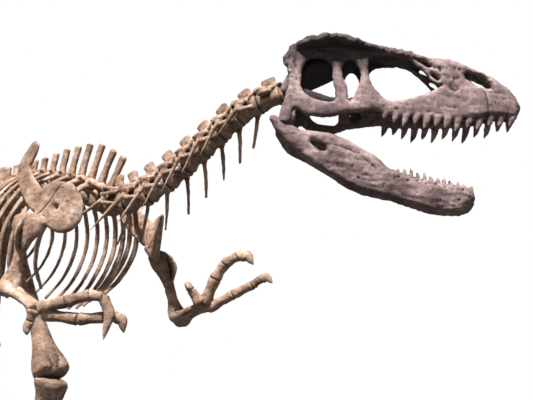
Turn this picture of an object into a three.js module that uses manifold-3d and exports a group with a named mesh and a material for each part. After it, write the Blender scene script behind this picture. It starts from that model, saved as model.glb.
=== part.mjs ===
// A mounted skeleton of a large meat-eating dinosaur, life size, striding with its head turned to its left.
// Millimetres, +Z up. The animal faces +X and its left side is +Y.
// The origin is the middle of the base's underside.
import * as THREE from 'three';
import { mergeVertices } from 'three/addons/utils/BufferGeometryUtils.js';
import Module from 'manifold-3d';

const wasm = await Module();
wasm.setup();

// Clearances
const GAP = 0.3; // between two bones that touch
const FINE = 0.1; // the smallest step worth keeping in a surface
const LEFT = 1;
const RIGHT = -1;

// Base
const BASE = { length: 2500, width: 2000, thick: 100, x: 600, y: 20 };

// Backbone: the middle line of the vertebrae, forward from the hips and back to the tail's tip
const TAIL_LINE = [[-200, 0, 3385], [-1800, 10, 3270], [-3600, 90, 3165], [-5400, 260, 3190], [-6650, 420, 3300]];
const SACRUM_LINE = [[-200, 0, 3385], [140, 0, 3398], [480, 0, 3405]];
const BACK_LINE = [[480, 0, 3405], [900, 0, 3462], [1300, 0, 3488], [1700, 0, 3462], [2050, 0, 3400], [2400, 0, 3290]];
const NECK_LINE = [
  [2400, 0, 3290], [2640, 70, 3340], [2870, 165, 3480], [3135, 243, 3699], [3456, 326, 3959], [3644, 380, 4055],
  [3784, 427, 4102],
];
const VERTEBRAE = { neck: 9, back: 12, sacrum: 5, tail: 34 };
const NECK_SPLIT = 5; // vertebrae in the rear half of the neck
const TAIL_LENGTHS = [0, 8, 16, 25, 34]; // the vertebrae where the tail is parted
// Heights of the spines on the back, from the front of the chest (0) to the hips (1)
const BACK_SPINES = [[0, 295], [0.2, 328], [0.65, 206], [1, 262]];
// How far the neck's ribs reach back and down, from the chest to the head; those on the left hang
const NECK_RIBS = {
  left: { back: [160, 130], down: [295, 225] },
  right: { back: [390, 220], down: [175, 120] },
};
const HIP_COVER = { back: 1, tail: 2 }; // vertebrae before and behind the sacrum that the hip blades cover

// Head: its place is the joint behind the braincase
const HEAD = { place: [3810, 435, 4122], yaw: 40.5, nod: 2 };
const SKULL_LENGTH = 1612;
const UPPER_TEETH = { count: 13, from: 715, to: 1560, left: 122, right: 92, wide: 18 };
const LOWER_TEETH = { count: 12, from: 850, to: 1350, left: 70, right: 70, wide: 14 };
const JAW_SKEW = 0.25; // the left half of the open jaw hangs a little higher

// Legs and arms: joint places, and how far each shoulder blade is tucked in to the ribs
const HIP = { x: 150, y: 250, z: 3110 };
const LEGS = {
  left: { side: LEFT, knee: [1075, 500, 1893], ankle: [620, 470, 793], foot: [820, 470, 217] },
  right: { side: RIGHT, knee: [700, -430, 1705], ankle: [-60, -420, 805], foot: [40, -420, 217] },
};
const ARMS = {
  left: { side: LEFT, shoulder: [2440, 505, 2975], elbow: [2728, 560, 2490], wrist: [3090, 515, 2592],
    front: [1, 0, 0], tuck: 45 },
  right: { side: RIGHT, shoulder: [2200, -545, 3080], elbow: [2180, -600, 2540], wrist: [2592, -560, 2405],
    front: [0.75, -0.66, 0], tuck: 0 },
};

const X = new THREE.Vector3(1, 0, 0);
const Y = new THREE.Vector3(0, 1, 0);
const Z = new THREE.Vector3(0, 0, 1);
const vector = ([x, y, z]) => new THREE.Vector3(x, y, z);
const radians = THREE.MathUtils.degToRad;
const mix = THREE.MathUtils.lerp;

// The value at `share` in a table of [share, value], in straight lines between its rows.
function ramp(table, share) {
  const next = Math.max(1, table.findIndex(([place]) => place >= share));
  const [[from, low], [to, high]] = [table[next - 1], table[next]];
  return mix(low, high, (share - from) / (to - from));
}

// Turns a closed three.js geometry into a solid that can be joined and cut.
function solid(geometry) {
  geometry.deleteAttribute('normal');
  geometry.deleteAttribute('uv');
  const closed = mergeVertices(geometry, 1e-3);
  return new wasm.Manifold(new wasm.Mesh({
    numProp: 3,
    vertProperties: new Float32Array(closed.attributes.position.array),
    triVerts: new Uint32Array(closed.index.array),
  }));
}

// A closed bone carried along a smooth curve. Each station is [x, y, z, half width, half height],
// where the height lies along `up` and the width across it.
function bone(stations, { sides = 8, steps = stations.length - 1, up = Z, turn = 0, grow = 0, at = null } = {}) {
  const path = new THREE.CatmullRomCurve3(stations.map(vector));
  const geometry = new THREE.CylinderGeometry(1, 1, 1, sides, steps, false, turn);
  const points = geometry.attributes.position;
  const last = stations.length - 1;
  for (let i = 0; i < points.count; i += 1) {
    const along = 0.5 - points.getY(i);
    const tangent = path.getTangent(along);
    const height = up.clone().addScaledVector(tangent, -up.dot(tangent)).normalize();
    const width = height.clone().cross(tangent);
    const index = Math.min(Math.floor(along * last), last - 1);
    const share = along * last - index;
    const size = (k) => mix(stations[index][k], stations[index + 1][k], share) + grow;
    const end = along < 1e-6 ? -grow : along > 1 - 1e-6 ? grow : 0;
    const point = path.getPoint(along)
      .addScaledVector(width, points.getX(i) * size(3))
      .addScaledVector(height, points.getZ(i) * size(4))
      .addScaledVector(tangent, end);
    points.setXYZ(i, point.x, point.y, point.z);
  }
  if (at) geometry.applyMatrix4(at);
  return solid(geometry);
}

// A tooth: a four-sided spike from a sunk root to its tip.
function spike(root, tip, thick, long, grow = 0) {
  const axis = tip.clone().sub(root);
  const geometry = new THREE.ConeGeometry(1, 1, 4, 1);
  geometry.translate(0, 0.5, 0);
  const across = X.clone().addScaledVector(axis, -X.dot(axis) / axis.lengthSq()).normalize();
  const side = across.clone().cross(axis).normalize();
  const place = new THREE.Matrix4().makeBasis(
    across.multiplyScalar(long + grow), axis, side.multiplyScalar(thick + grow));
  geometry.applyMatrix4(place.setPosition(root));
  return solid(geometry);
}

// The frame of a long bone: X runs from one joint to the next, Z lies towards `front`.
function between(from, to, front) {
  const x = vector(to).sub(vector(from)).normalize();
  const z = front.clone().addScaledVector(x, -front.dot(x)).normalize();
  const y = z.clone().cross(x);
  return new THREE.Matrix4().makeBasis(x, y, z).setPosition(vector(from));
}

const distance = (from, to) => vector(to).distanceTo(vector(from));
const mirrored = (stations, side) => stations.map(([x, y, z, ...sizes]) => [x, y * side, z, ...sizes]);

const curve = (line) => new THREE.CatmullRomCurve3(line.map(vector));

// The frame of vertebra `index` of `count` on a line: X along the line, Z up.
function vertebraFrame(line, index, count) {
  const path = curve(line);
  const share = (index + 0.5) / count;
  const along = path.getTangentAt(share);
  const across = Z.clone().cross(along).normalize();
  const up = along.clone().cross(across);
  const length = path.getLength() / count;
  return { at: new THREE.Matrix4().makeBasis(along, across, up).setPosition(path.getPointAt(share)), length };
}

// The spools of vertebrae `from` to `to` of `count` on a line, waisted in the middle of each.
function spools(line, count, from, to, radius, waist, grow, sides = 6) {
  const path = curve(line);
  const stations = [];
  for (let half = 2 * from; half <= 2 * to; half += 1) {
    const size = radius(half / 2 / count) * (half % 2 ? waist : 1);
    stations.push([...path.getPointAt(half / 2 / count).toArray(), size, size]);
  }
  return bone(stations, { sides, turn: Math.PI / sides, grow });
}

// The flat spine on the back of a vertebra.
function spine({ at }, radius, { tall, long, thick, lean }, grow) {
  return bone([[0, 0, radius * 0.4, thick * 1.8, long * 1.2], [lean * tall, 0, radius + tall, thick, long]],
    { sides: 4, turn: Math.PI / 4, up: X, grow, at });
}

// A process that reaches out on one side of a vertebra.
function process({ at }, radius, side, { reach, rise, sweep, long, thick }, grow) {
  return bone([
    [0, 0, radius * 0.55, long * 1.3, thick * 1.6],
    [sweep, side * reach, radius * 0.8 + rise, long * 0.8, thick]], { sides: 4, grow, at });
}

// The same process on both sides, in one piece.
function processes({ at }, radius, { reach, rise, sweep, long, thick }, grow) {
  const tip = (side) => [sweep, side * reach, radius * 0.8 + rise, long * 0.8, thick];
  return bone([tip(RIGHT), [0, 0, radius * 0.6, long * 1.4, thick * 1.7], tip(LEFT)], { sides: 3, grow, at });
}

// Neck: each vertebra also carries a long, thin rib on each side that points back and down.
const neckRadius = (share) => mix(100, 74, share);

function neckVertebra(index, grow) {
  const frame = vertebraFrame(NECK_LINE, index, VERTEBRAE.neck);
  const share = index / (VERTEBRAE.neck - 1);
  const radius = neckRadius(share);
  const reach = mix(165, 120, share);
  const atlas = index === VERTEBRAE.neck - 1;
  const parts = [
    spine(frame, radius, { tall: mix(125, 84, share), long: mix(46, 62, share), thick: 15, lean: -0.1 }, grow),
    processes(frame, radius, { reach, rise: -45, sweep: -30, long: 42, thick: 20 }, grow),
  ];
  for (const [name, side] of atlas ? [] : [['left', LEFT], ['right', RIGHT]]) {
    const back = mix(...NECK_RIBS[name].back, share);
    const down = mix(...NECK_RIBS[name].down, share);
    parts.push(bone([
      [0, side * reach * 0.84, 26, 18, 22],
      [-back, side * radius * 1.75, -down, 3, 4]], { sides: 3, grow, at: frame.at }));
  }
  return parts;
}

function neck(from, to, grow) {
  const parts = [spools(NECK_LINE, VERTEBRAE.neck, from, to, neckRadius, 0.78, grow)];
  for (let index = from; index < to; index += 1) parts.push(...neckVertebra(index, grow));
  return parts;
}

// Ribs: a curve out from the vertebra, round the chest and in below, longest in the middle of the chest.
function rib(index, side, grow) {
  const { at } = vertebraFrame(BACK_LINE, index, VERTEBRAE.back);
  const share = 1 - index / (VERTEBRAE.back - 1); // 0 at the front of the chest and 1 at the hip
  const swell = Math.sin(Math.PI * Math.min(1, 0.22 + 0.72 * share));
  const wide = mix(255, 520, swell);
  const deep = mix(420, 985, swell) * (share > 0.8 ? mix(1, 0.72, (share - 0.8) / 0.2) : 1);
  const sweep = mix(60, 240, share);
  const thick = mix(20, 15, share);
  return bone([
    [0, side * 120, 88, thick, thick * 1.6],
    [-10, side * 215, 80, thick * 1.2, thick * 2.2],
    [-sweep * 0.2, side * wide * 0.78, -deep * 0.1, thick, thick * 2.4],
    [-sweep * 0.5, side * wide, -deep * 0.42, thick * 0.9, thick * 2.6],
    [-sweep * 0.8, side * wide * 0.9, -deep * 0.76, thick * 0.85, thick * 2.4],
    [-sweep, side * wide * 0.62, -deep, thick * 0.8, thick * 1.6],
  ], { sides: 4, steps: 5, up: X, turn: Math.PI / 4, grow, at });
}

function backVertebra(index, side, grow) {
  const frame = vertebraFrame(BACK_LINE, index, VERTEBRAE.back);
  const share = 1 - index / (VERTEBRAE.back - 1);
  const tall = ramp(BACK_SPINES, share);
  const between = index < HIP_COVER.back; // between the two hip blades
  const reach = between ? 125 : 205;
  const parts = [
    spine(frame, 96, { tall, long: mix(34, 46, share), thick: 15, lean: mix(0.16, -0.06, share) }, grow),
    process(frame, 96, side, { reach, rise: 45, sweep: -15, long: 42, thick: 20 }, grow),
  ];
  if (!between) parts.push(rib(index, side, grow));
  return parts;
}

function back(side, grow) {
  const parts = [spools(BACK_LINE, VERTEBRAE.back, 0, VERTEBRAE.back, (share) => mix(100, 93, share), 0.76, grow)];
  for (let index = 0; index < VERTEBRAE.back; index += 1) parts.push(...backVertebra(index, side, grow));
  return parts;
}

function sacrum(grow) {
  const count = VERTEBRAE.sacrum;
  const parts = [spools(SACRUM_LINE, count, 0, count, () => 98, 0.85, grow)];
  for (let index = 0; index < count; index += 1) {
    const frame = vertebraFrame(SACRUM_LINE, index, count);
    parts.push(spine(frame, 98, { tall: 285, long: 62, thick: 16, lean: -0.04 }, grow));
    parts.push(processes(frame, 98, { reach: 200, rise: -20, sweep: 0, long: 44, thick: 42 }, grow));
  }
  return parts;
}

// Tail: spines, side processes and the chevrons below grow smaller towards the tip and then end.
const tailRadius = (share) => mix(96, 15, share ** 0.85);

function tailVertebra(index, grow) {
  const along = index / (VERTEBRAE.tail - 1);
  const frame = vertebraFrame(TAIL_LINE, index, VERTEBRAE.tail);
  const radius = tailRadius((index + 0.5) / VERTEBRAE.tail);
  const long = mix(40, 22, along);
  const parts = [];
  if (along < 0.55) {
    parts.push(spine(frame, radius, { tall: mix(270, 40, along / 0.55), long, thick: 13, lean: 0.3 }, grow));
  }
  if (along < 0.33) {
    const reach = index < HIP_COVER.tail ? 120 : mix(250, 80, along / 0.33);
    parts.push(processes(frame, radius, { reach, rise: -radius * 0.4, sweep: 50, long, thick: 16 }, grow));
  }
  if (index > 0 && along < 0.5) {
    const drop = mix(310, 70, along / 0.5);
    const start = frame.length / 2;
    parts.push(bone([[start - 12, 0, -radius * 0.5, 16, 24], [start + drop * 0.42, 0, -radius - drop, 11, 24]],
      { sides: 3, up: X, grow, at: frame.at }));
  }
  return parts;
}

function tail(from, to, grow) {
  const parts = [spools(TAIL_LINE, VERTEBRAE.tail, from, to, tailRadius, 0.72, grow, 5)];
  for (let index = from; index < to; index += 1) parts.push(...tailVertebra(index, grow));
  return parts;
}

// Skull, in the head's frame: X to the snout, Z up. The openings are the gaps between its bars.
function skullBars(side, grow) {
  const lengthwise = (stations) => bone(mirrored(stations, side), { sides: 5, turn: Math.PI, grow });
  const upright = (stations) => bone(mirrored(stations, side), { sides: 6, up: X, grow });
  return [
    // cheek and upper jaw
    lengthwise([
      [40, 212, -150, 22, 38], [125, 232, -172, 24, 52], [240, 240, -167, 24, 57], [340, 236, -164, 24, 54],
      [450, 224, -128, 24, 50], [600, 202, -93, 24, 48], [717, 184, -91, 27, 49], [893, 152, -66, 32, 70],
      [1000, 130, -36, 40, 96], [1100, 112, -6, 44, 118], [1210, 100, -16, 40, 92], [1330, 88, 0, 36, 84],
      [1450, 72, 26, 34, 70], [1550, 54, 34, 26, 66]]),
    // upper edge of the large opening in front of the eye
    lengthwise([
      [420, 180, 334, 30, 34], [520, 168, 324, 24, 32], [640, 152, 326, 22, 30], [760, 132, 324, 20, 28],
      [880, 120, 294, 22, 42], [980, 112, 240, 28, 86], [1100, 106, 160, 36, 150]]),
    // strut between the large opening and the eye
    upright([[506, 142, 325, 26, 58], [540, 172, 170, 20, 28], [553, 194, 46, 22, 46], [592, 200, -80, 24, 96]]),
    // strut behind the eye
    upright([[330, 150, 335, 34, 86], [352, 186, 160, 27, 42], [399, 226, -16, 24, 38], [416, 228, -112, 24, 48]]),
    // back edge of the cheek, down to the jaw joint
    upright([[66, 172, 280, 44, 66], [45, 200, 165, 36, 56], [58, 216, 70, 28, 50], [70, 222, -50, 28, 60],
      [60, 218, -150, 34, 52], [45, 205, -282, 40, 42]]),
    // wing from the braincase to the back edge
    bone(mirrored([[40, 20, 100, 40, 70], [28, 150, 110, 26, 52], [30, 215, 110, 24, 40]], side),
      { sides: 6, grow }),
  ];
}

function skull(grow) {
  const centre = (stations, sides = 8) => bone(stations, { sides, grow });
  const roof = centre([
    [-8, 0, 222, 150, 44], [80, 0, 282, 226, 50], [210, 0, 312, 250, 40], [330, 0, 340, 246, 38],
    [450, 0, 334, 214, 32], [600, 0, 332, 164, 26], [750, 0, 329, 134, 24], [920, 0, 312, 112, 26],
    [1110, 0, 286, 108, 42]]);
  const snout = centre([
    [1070, 0, 102, 120, 222], [1200, 0, 96, 114, 200], [1320, 0, 90, 106, 162], [1430, 0, 80, 97, 118],
    [1520, 0, 58, 82, 96], [1585, 0, 40, 58, 70], [SKULL_LENGTH, 0, 34, 24, 30]]);
  const braincase = centre([
    [-30, 0, 0, 44, 44], [20, 0, 40, 70, 75], [90, 0, 110, 105, 120], [220, 0, 180, 95, 110],
    [360, 0, 245, 90, 90], [470, 0, 290, 80, 50]]);
  const palate = centre([[480, 0, -40, 120, 22], [800, 0, -26, 112, 18], [1110, 0, 10, 80, 50]], 6);
  const bars = [...skullBars(LEFT, grow), ...skullBars(RIGHT, grow)];
  const nostril = bone([[1320, -200, 232, 78, 26], [1320, 200, 232, 78, 26]], { sides: 6, grow: -grow });
  const upper = wasm.Manifold.union([roof, snout, braincase, palate, ...bars]).subtract(nostril);
  return [upper, ...teeth(UPPER_TEETH, upperGum, -1, grow)];
}

// Half the mouth's width and its height at a place along the upper tooth row.
function upperGum(x) {
  const share = (x - UPPER_TEETH.from) / (UPPER_TEETH.to - UPPER_TEETH.from);
  return { y: mix(182, 72, share ** 1.15), z: mix(-128, -30, share ** 2.4) };
}

// The same for the lower jaw's tooth row, which slopes down with the open mouth.
function lowerGum(x) {
  const share = (x - LOWER_TEETH.from) / (LOWER_TEETH.to - LOWER_TEETH.from);
  return { y: mix(136, 48, share ** 1.6), z: mix(-520, -560, Math.min(1, share * 1.6)) };
}

// Teeth in a row on both sides: uneven, longest in the middle of the row, leaning back a little.
function teeth({ count, from, to, left, right, wide }, gum, direction, grow, sides = [LEFT, RIGHT], skew = 0) {
  const parts = [];
  for (const side of sides) {
    const longest = side === LEFT ? left : right;
    for (let index = 0; index < count; index += 1) {
      const share = index / (count - 1);
      const x = mix(from, to, share);
      const { y, z: level } = gum(x);
      const z = level + skew * y;
      const uneven = (index * 7 + (side > 0 ? 3 : 0)) % 5 / 4;
      const long = longest * (0.5 + 0.5 * Math.sin(Math.PI * (0.15 + 0.7 * share))) * mix(0.62, 1, uneven);
      const root = new THREE.Vector3(x, side * (y - wide), z - direction * longest * 0.35);
      const tip = new THREE.Vector3(x - long * 0.22, side * (y - wide), z + direction * long);
      parts.push(spike(root, tip, wide * 0.8, wide * 1.3, grow));
    }
  }
  return parts;
}

// Half of the lower jaw, hanging open below the skull.
function jaw(side, grow) {
  const skew = side === LEFT ? JAW_SKEW : 0;
  const stations = [
    [-60, 200, -268, 24, 22], [35, 205, -322, 34, 58], [150, 206, -392, 36, 78], [276, 200, -432, 38, 114],
    [386, 190, -464, 40, 137], [494, 178, -503, 42, 150], [622, 162, -550, 44, 142], [803, 138, -605, 46, 106],
    [974, 114, -640, 48, 100], [1121, 92, -659, 50, 104], [1240, 70, -650, 50, 103], [1325, 44, -643, 42, 88],
    [1378, 16, -640, 28, 52]];
  for (const station of stations) station[2] += skew * station[1] * THREE.MathUtils.smoothstep(station[0], 0, 300);
  const half = bone(mirrored(stations, side), { grow });
  const hole = bone([[345, side * 100, -375, 72, 26], [345, side * 320, -415, 72, 26]], { sides: 6, grow: -grow });
  return [half.subtract(hole), ...teeth(LOWER_TEETH, lowerGum, 1, grow, [side], skew)];
}

// Shoulder blade, a strap that lies on the ribs, and the rounded plate in front of it, in one piece.
function shoulderBlade({ side, shoulder: [x, y, z], tuck }, grow) {
  const from = (dx, dy, dz, ...sizes) => [x + dx, y + (dy - (dx < -150 ? tuck : 0)) * side, z + dz, ...sizes];
  const strap = [
    from(-250, -70, 658, 9, 48), from(-300, -74, 588, 13, 84), from(-366, -84, 510, 16, 100),
    from(-392, -86, 424, 18, 100), from(-310, -72, 322, 22, 102), from(-180, -64, 228, 26, 96),
    from(-70, -80, 166, 28, 98), from(60, -118, 122, 26, 110)];
  const plate = [
    from(-60, -84, 138, 16, 60), from(30, -96, 142, 26, 148), from(108, -122, 121, 28, 182),
    from(200, -170, 105, 28, 194), from(262, -214, 86, 24, 148), from(300, -244, 76, 16, 80),
    from(314, -256, 76, 8, 36)];
  return [bone(strap, { sides: 4, up: X, grow }), bone(plate, { sides: 6, grow })];
}

function upperArm({ side, shoulder, elbow, front }, grow) {
  const at = between(shoulder, elbow, vector(front));
  const length = distance(shoulder, elbow);
  return [
    bone([[-34, 0, 0, 64, 34], [10, 0, 0, 124, 52], [length * 0.17, 0, 6, 120, 50], [length * 0.34, 0, 8, 66, 46],
      [length * 0.5, 0, 6, 40, 40], [length * 0.7, 0, 0, 42, 38], [length * 0.88, 0, 0, 82, 44],
      [length - 12, 0, 0, 90, 46]], { grow, at }),
    // crest on the front of the upper half
    bone([[length * 0.08, side * 40, 20, 24, 44], [length * 0.28, side * 40, 72, 18, 50],
      [length * 0.46, side * 12, 26, 16, 30]], { sides: 5, grow, at }),
  ];
}

function forearm({ side, elbow, wrist }, offset, thick, grow, olecranon) {
  const shift = (point, share) => [point[0], point[1] + side * offset * share, point[2]];
  const from = shift(elbow, 1);
  const to = shift(wrist, 0.7);
  const at = between(from, to, Z);
  const length = distance(from, to);
  return [bone([[-olecranon, 0, 0, thick * 1.2, thick * 1.1], [20, 0, 0, thick * 1.4, thick * 1.45],
    [length * 0.3, 0, 6, thick * 0.8, thick * 0.8], [length * 0.7, 0, 6, thick * 0.75, thick * 0.7],
    [length - 8, 0, 0, thick * 1.1, thick]], { sides: 7, grow, at })];
}

// A finger or toe: bones end to end along its joints, thick at each joint, and a hooked claw.
function digit(joints, radius, claw, grow, up) {
  const stations = [];
  joints.forEach((joint, index) => {
    const size = radius * mix(1, 0.76, index / (joints.length - 1));
    stations.push([...joint, size, size]);
    if (index + 1 < joints.length) {
      const middle = vector(joint).lerp(vector(joints[index + 1]), 0.5).toArray();
      stations.push([...middle, size * 0.78, size * 0.78]);
    }
  });
  const [bend, tip] = claw;
  stations.push([...bend, radius * 0.42, radius * 0.62], [...tip, 3, 4]);
  return [bone(stations, { sides: 5, up, grow })];
}

const FINGERS = {
  right: [
    { joints: [[2590, -592, 2385], [2583, -604, 2315]], radius: 45, claw: [[2572, -612, 2268], [2590, -612, 2214]] },
    { joints: [[2600, -556, 2412], [2746, -440, 2478], [2896, -345, 2540], [2985, -292, 2534]], radius: 50,
      claw: [[3048, -262, 2422], [3034, -272, 2246]] },
    { joints: [[2604, -512, 2376], [2807, -362, 2366], [2940, -238, 2400], [2990, -200, 2418]], radius: 44,
      claw: [[3046, -155, 2394], [3071, -138, 2309]] },
  ],
  left: [
    { joints: [[3075, 478, 2608], [3034, 416, 2692]], radius: 42, claw: [[3030, 384, 2722], [3062, 362, 2700]] },
    { joints: [[3085, 520, 2615], [3143, 539, 2797], [3214, 558, 2913], [3318, 586, 2976]], radius: 50,
      claw: [[3400, 608, 2978], [3460, 624, 2915]] },
    { joints: [[3090, 562, 2582], [3293, 615, 2698], [3446, 655, 2772], [3500, 670, 2815]], radius: 37,
      claw: [[3552, 684, 2834], [3605, 698, 2795]] },
  ],
};

// Hip bones: a long blade above the socket, a shaft forward with a boot, and a shaft back.
const hipPlace = (side) => [HIP.x, side * HIP.y, HIP.z];

function ilium(side, grow) {
  const stations = [[-560, 178, 3425, 16, 120], [-380, 194, 3420, 20, 190], [-120, 208, 3395, 26, 220],
    [150, 217, 3370, 34, 245], [420, 208, 3410, 24, 200], [560, 192, 3430, 18, 150], [620, 186, 3420, 12, 90]];
  const socket = [[HIP.x - 150, 228, 3190, 40, 95], [HIP.x, 232, 3150, 48, 130], [HIP.x + 150, 228, 3190, 40, 95]];
  return [bone(mirrored(stations, side), { sides: 6, grow }), bone(mirrored(socket, side), { sides: 6, grow })];
}

function pubis(side, grow) {
  const stations = [[HIP.x + 60, 215, 3060, 42, 70], [HIP.x + 190, 180, 2880, 34, 50], [HIP.x + 380, 105, 2560, 28, 40],
    [HIP.x + 520, 62, 2260, 30, 42], [HIP.x + 560, 46, 2130, 38, 70]];
  const boot = [[HIP.x + 330, 36, 2080, 30, 40], [HIP.x + 500, 42, 2085, 40, 66], [HIP.x + 690, 40, 2130, 30, 44]];
  return [bone(mirrored(stations, side), { up: X, sides: 7, grow }), bone(mirrored(boot, side), { sides: 6, grow })];
}

function ischium(side, grow) {
  const stations = [[HIP.x - 60, 215, 3060, 42, 70], [HIP.x - 230, 150, 2880, 26, 48], [HIP.x - 480, 80, 2560, 24, 34],
    [HIP.x - 690, 46, 2300, 28, 40], [HIP.x - 760, 40, 2225, 34, 52]];
  return [bone(mirrored(stations, side), { up: X, sides: 7, grow })];
}

function thigh({ side, knee }, grow) {
  const top = [HIP.x, side * (HIP.y + 95), HIP.z + 10];
  const at = between(top, knee, X);
  const length = distance(top, knee);
  return [
    bone([[-70, 0, 0, 70, 62], [40, 0, 0, 92, 84], [length * 0.2, 0, 16, 74, 78], [length * 0.45, 0, 24, 62, 68],
      [length * 0.7, 0, 14, 84, 78], [length * 0.86, 0, 0, 156, 112], [length - 20, 0, -6, 178, 130]], { grow, at }),
    // head of the thigh bone, in the hip's socket
    bone([[20, side * -10, 0, 66, 62], [4, side * -110, 0, 66, 66], [4, side * -165, 0, 56, 56]],
      { up: X, sides: 7, grow, at }),
    bone([[length - 190, 0, -40, 44, 40], [length - 70, 0, -112, 112, 60], [length - 26, 0, -96, 104, 50]],
      { sides: 7, grow, at }),
  ];
}

function shin({ knee, ankle }, grow) {
  const at = between(knee, ankle, X);
  const length = distance(knee, ankle);
  return [
    bone([[14, 0, -10, 166, 132], [70, 0, 0, 150, 138], [length * 0.2, 0, 16, 78, 82], [length * 0.5, 0, 8, 56, 56],
      [length * 0.78, 0, 0, 62, 56], [length * 0.92, 0, 0, 106, 60], [length - 10, 0, 0, 112, 64]], { grow, at }),
  ];
}

function fibula({ side, knee, ankle }, grow) {
  const shift = ([x, y, z]) => [x - 10, y + side * 148, z];
  const at = between(shift(knee), shift(ankle), X);
  const length = distance(knee, ankle);
  return [bone([[50, 0, -10, 24, 66], [length * 0.15, 0, 0, 22, 52], [length * 0.4, side * -42, 0, 17, 26],
    [length * 0.75, side * -54, 0, 14, 18], [length * 0.93, side * -32, 0, 16, 24]], { sides: 6, grow, at })];
}

function instep({ ankle, foot }, grow) {
  const at = between(ankle, foot, X);
  const length = distance(ankle, foot);
  const parts = [bone([[18, 0, 0, 108, 66], [70, 0, 0, 104, 64]], { grow, at })];
  for (const place of [-1, 0, 1]) {
    parts.push(bone([[40, place * 62, 0, 42, 52], [length * 0.45, place * 66, 6, 34, 38],
      [length - 6, place * 98, 0, 46, 46]], { sides: 5, grow, at }));
  }
  return parts;
}

// Toes: three on the base and a small inner one behind, spread out from the end of the instep.
const TOE_LENGTHS = [[150, 130], [170, 150, 120], [140, 120, 100]];
const TOE_SPREAD = [-20, 0, 20];

function toe({ side, foot }, number, grow) {
  const turn = radians(TOE_SPREAD[number]) * side;
  const heading = new THREE.Vector3(Math.cos(turn), Math.sin(turn), 0);
  const start = vector(foot).add(new THREE.Vector3(0, side * (number - 1) * 98, -20));
  const joints = [start];
  TOE_LENGTHS[number].forEach((length, index) => {
    const next = joints[index].clone().addScaledVector(heading, length);
    next.z = BASE.thick + 32;
    joints.push(next);
  });
  const last = joints[joints.length - 1];
  const ahead = (far, height) => last.clone().addScaledVector(heading, far).setZ(height).toArray();
  const claw = [ahead(85, BASE.thick + 44), ahead(170, BASE.thick + 5)];
  return digit(joints.map((joint) => joint.toArray()), 48, claw, grow, Z);
}

function innerToe({ side, ankle, foot }, grow) {
  const [x, y, z] = foot;
  const joints = [[mix(x, ankle[0], 0.25) - 40, y - side * 128, z + 120], [x - 20, y - side * 160, z + 10]];
  const claw = [[x + 10, y - side * 172, z - 24], [x + 60, y - side * 180, z - 90]];
  return digit(joints, 30, claw, grow, X);
}

// Keeps the largest closed surface, which drops loose scraps.
function largest(whole) {
  return whole.decompose().reduce((best, next) => (next.volume() > best.volume() ? next : best));
}

const join = (parts) => wasm.Manifold.union(parts);

const mount = new THREE.Group();
mount.position.set(-BASE.x, -BASE.y, 0);
const head = new THREE.Group();
head.position.set(...HEAD.place);
head.rotation.set(0, radians(HEAD.nod), radians(HEAD.yaw), 'ZYX');
head.updateMatrix();
mount.add(head);

const BONE_COLOR = 0xb99f8b;
const SKULL_COLOR = 0xa38d85;
const STAND_COLOR = 0x3f3d3b;

function add(group, name, whole, color = BONE_COLOR, roughness = 0.85) {
  const { vertProperties, triVerts } = largest(whole).simplify(FINE).getMesh();
  const geometry = new THREE.BufferGeometry();
  geometry.setAttribute('position', new THREE.BufferAttribute(vertProperties, 3));
  geometry.setIndex(new THREE.BufferAttribute(triVerts, 1));
  const mesh = new THREE.Mesh(geometry, new THREE.MeshStandardMaterial({ color, roughness, metalness: 0 }));
  mesh.name = name;
  group.add(mesh);
}

// A bone, cut clear of the bones that it touches.
const clear = (parts, ...others) => others.reduce((whole, other) => whole.subtract(join(other)), join(parts));

// Head
add(head, 'skull', join(skull(0)), SKULL_COLOR);
for (const [name, side] of [['left', LEFT], ['right', RIGHT]]) {
  const half = clear(jaw(side, 0), skull(GAP)).trimByPlane([0, side, 0], GAP / 2);
  add(head, `lower_jaw_${name}`, half, SKULL_COLOR);
}

// Neck
const placedSkull = [join(skull(GAP)).transform(head.matrix.elements)];
add(mount, 'neck_front', clear(neck(NECK_SPLIT, VERTEBRAE.neck, 0), placedSkull));
add(mount, 'neck_rear', clear(neck(0, NECK_SPLIT, 0), neck(NECK_SPLIT, VERTEBRAE.neck, GAP)));

// Trunk: the rib cage is parted into its two sides along the middle of the backbone
for (const [name, side] of [['left', LEFT], ['right', RIGHT]]) {
  const half = clear(back(side, 0), neck(0, NECK_SPLIT, GAP), sacrum(GAP));
  add(mount, `rib_cage_${name}`, half.trimByPlane([0, side, 0], GAP / 2));
}
add(mount, 'sacrum', join(sacrum(0)));

// Tail
for (let index = 0; index + 1 < TAIL_LENGTHS.length; index += 1) {
  const [from, to] = [TAIL_LENGTHS[index], TAIL_LENGTHS[index + 1]];
  const ahead = index === 0 ? sacrum(GAP) : tail(TAIL_LENGTHS[index - 1], from, GAP);
  add(mount, `tail_${index + 1}`, clear(tail(from, to, 0), ahead));
}

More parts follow.
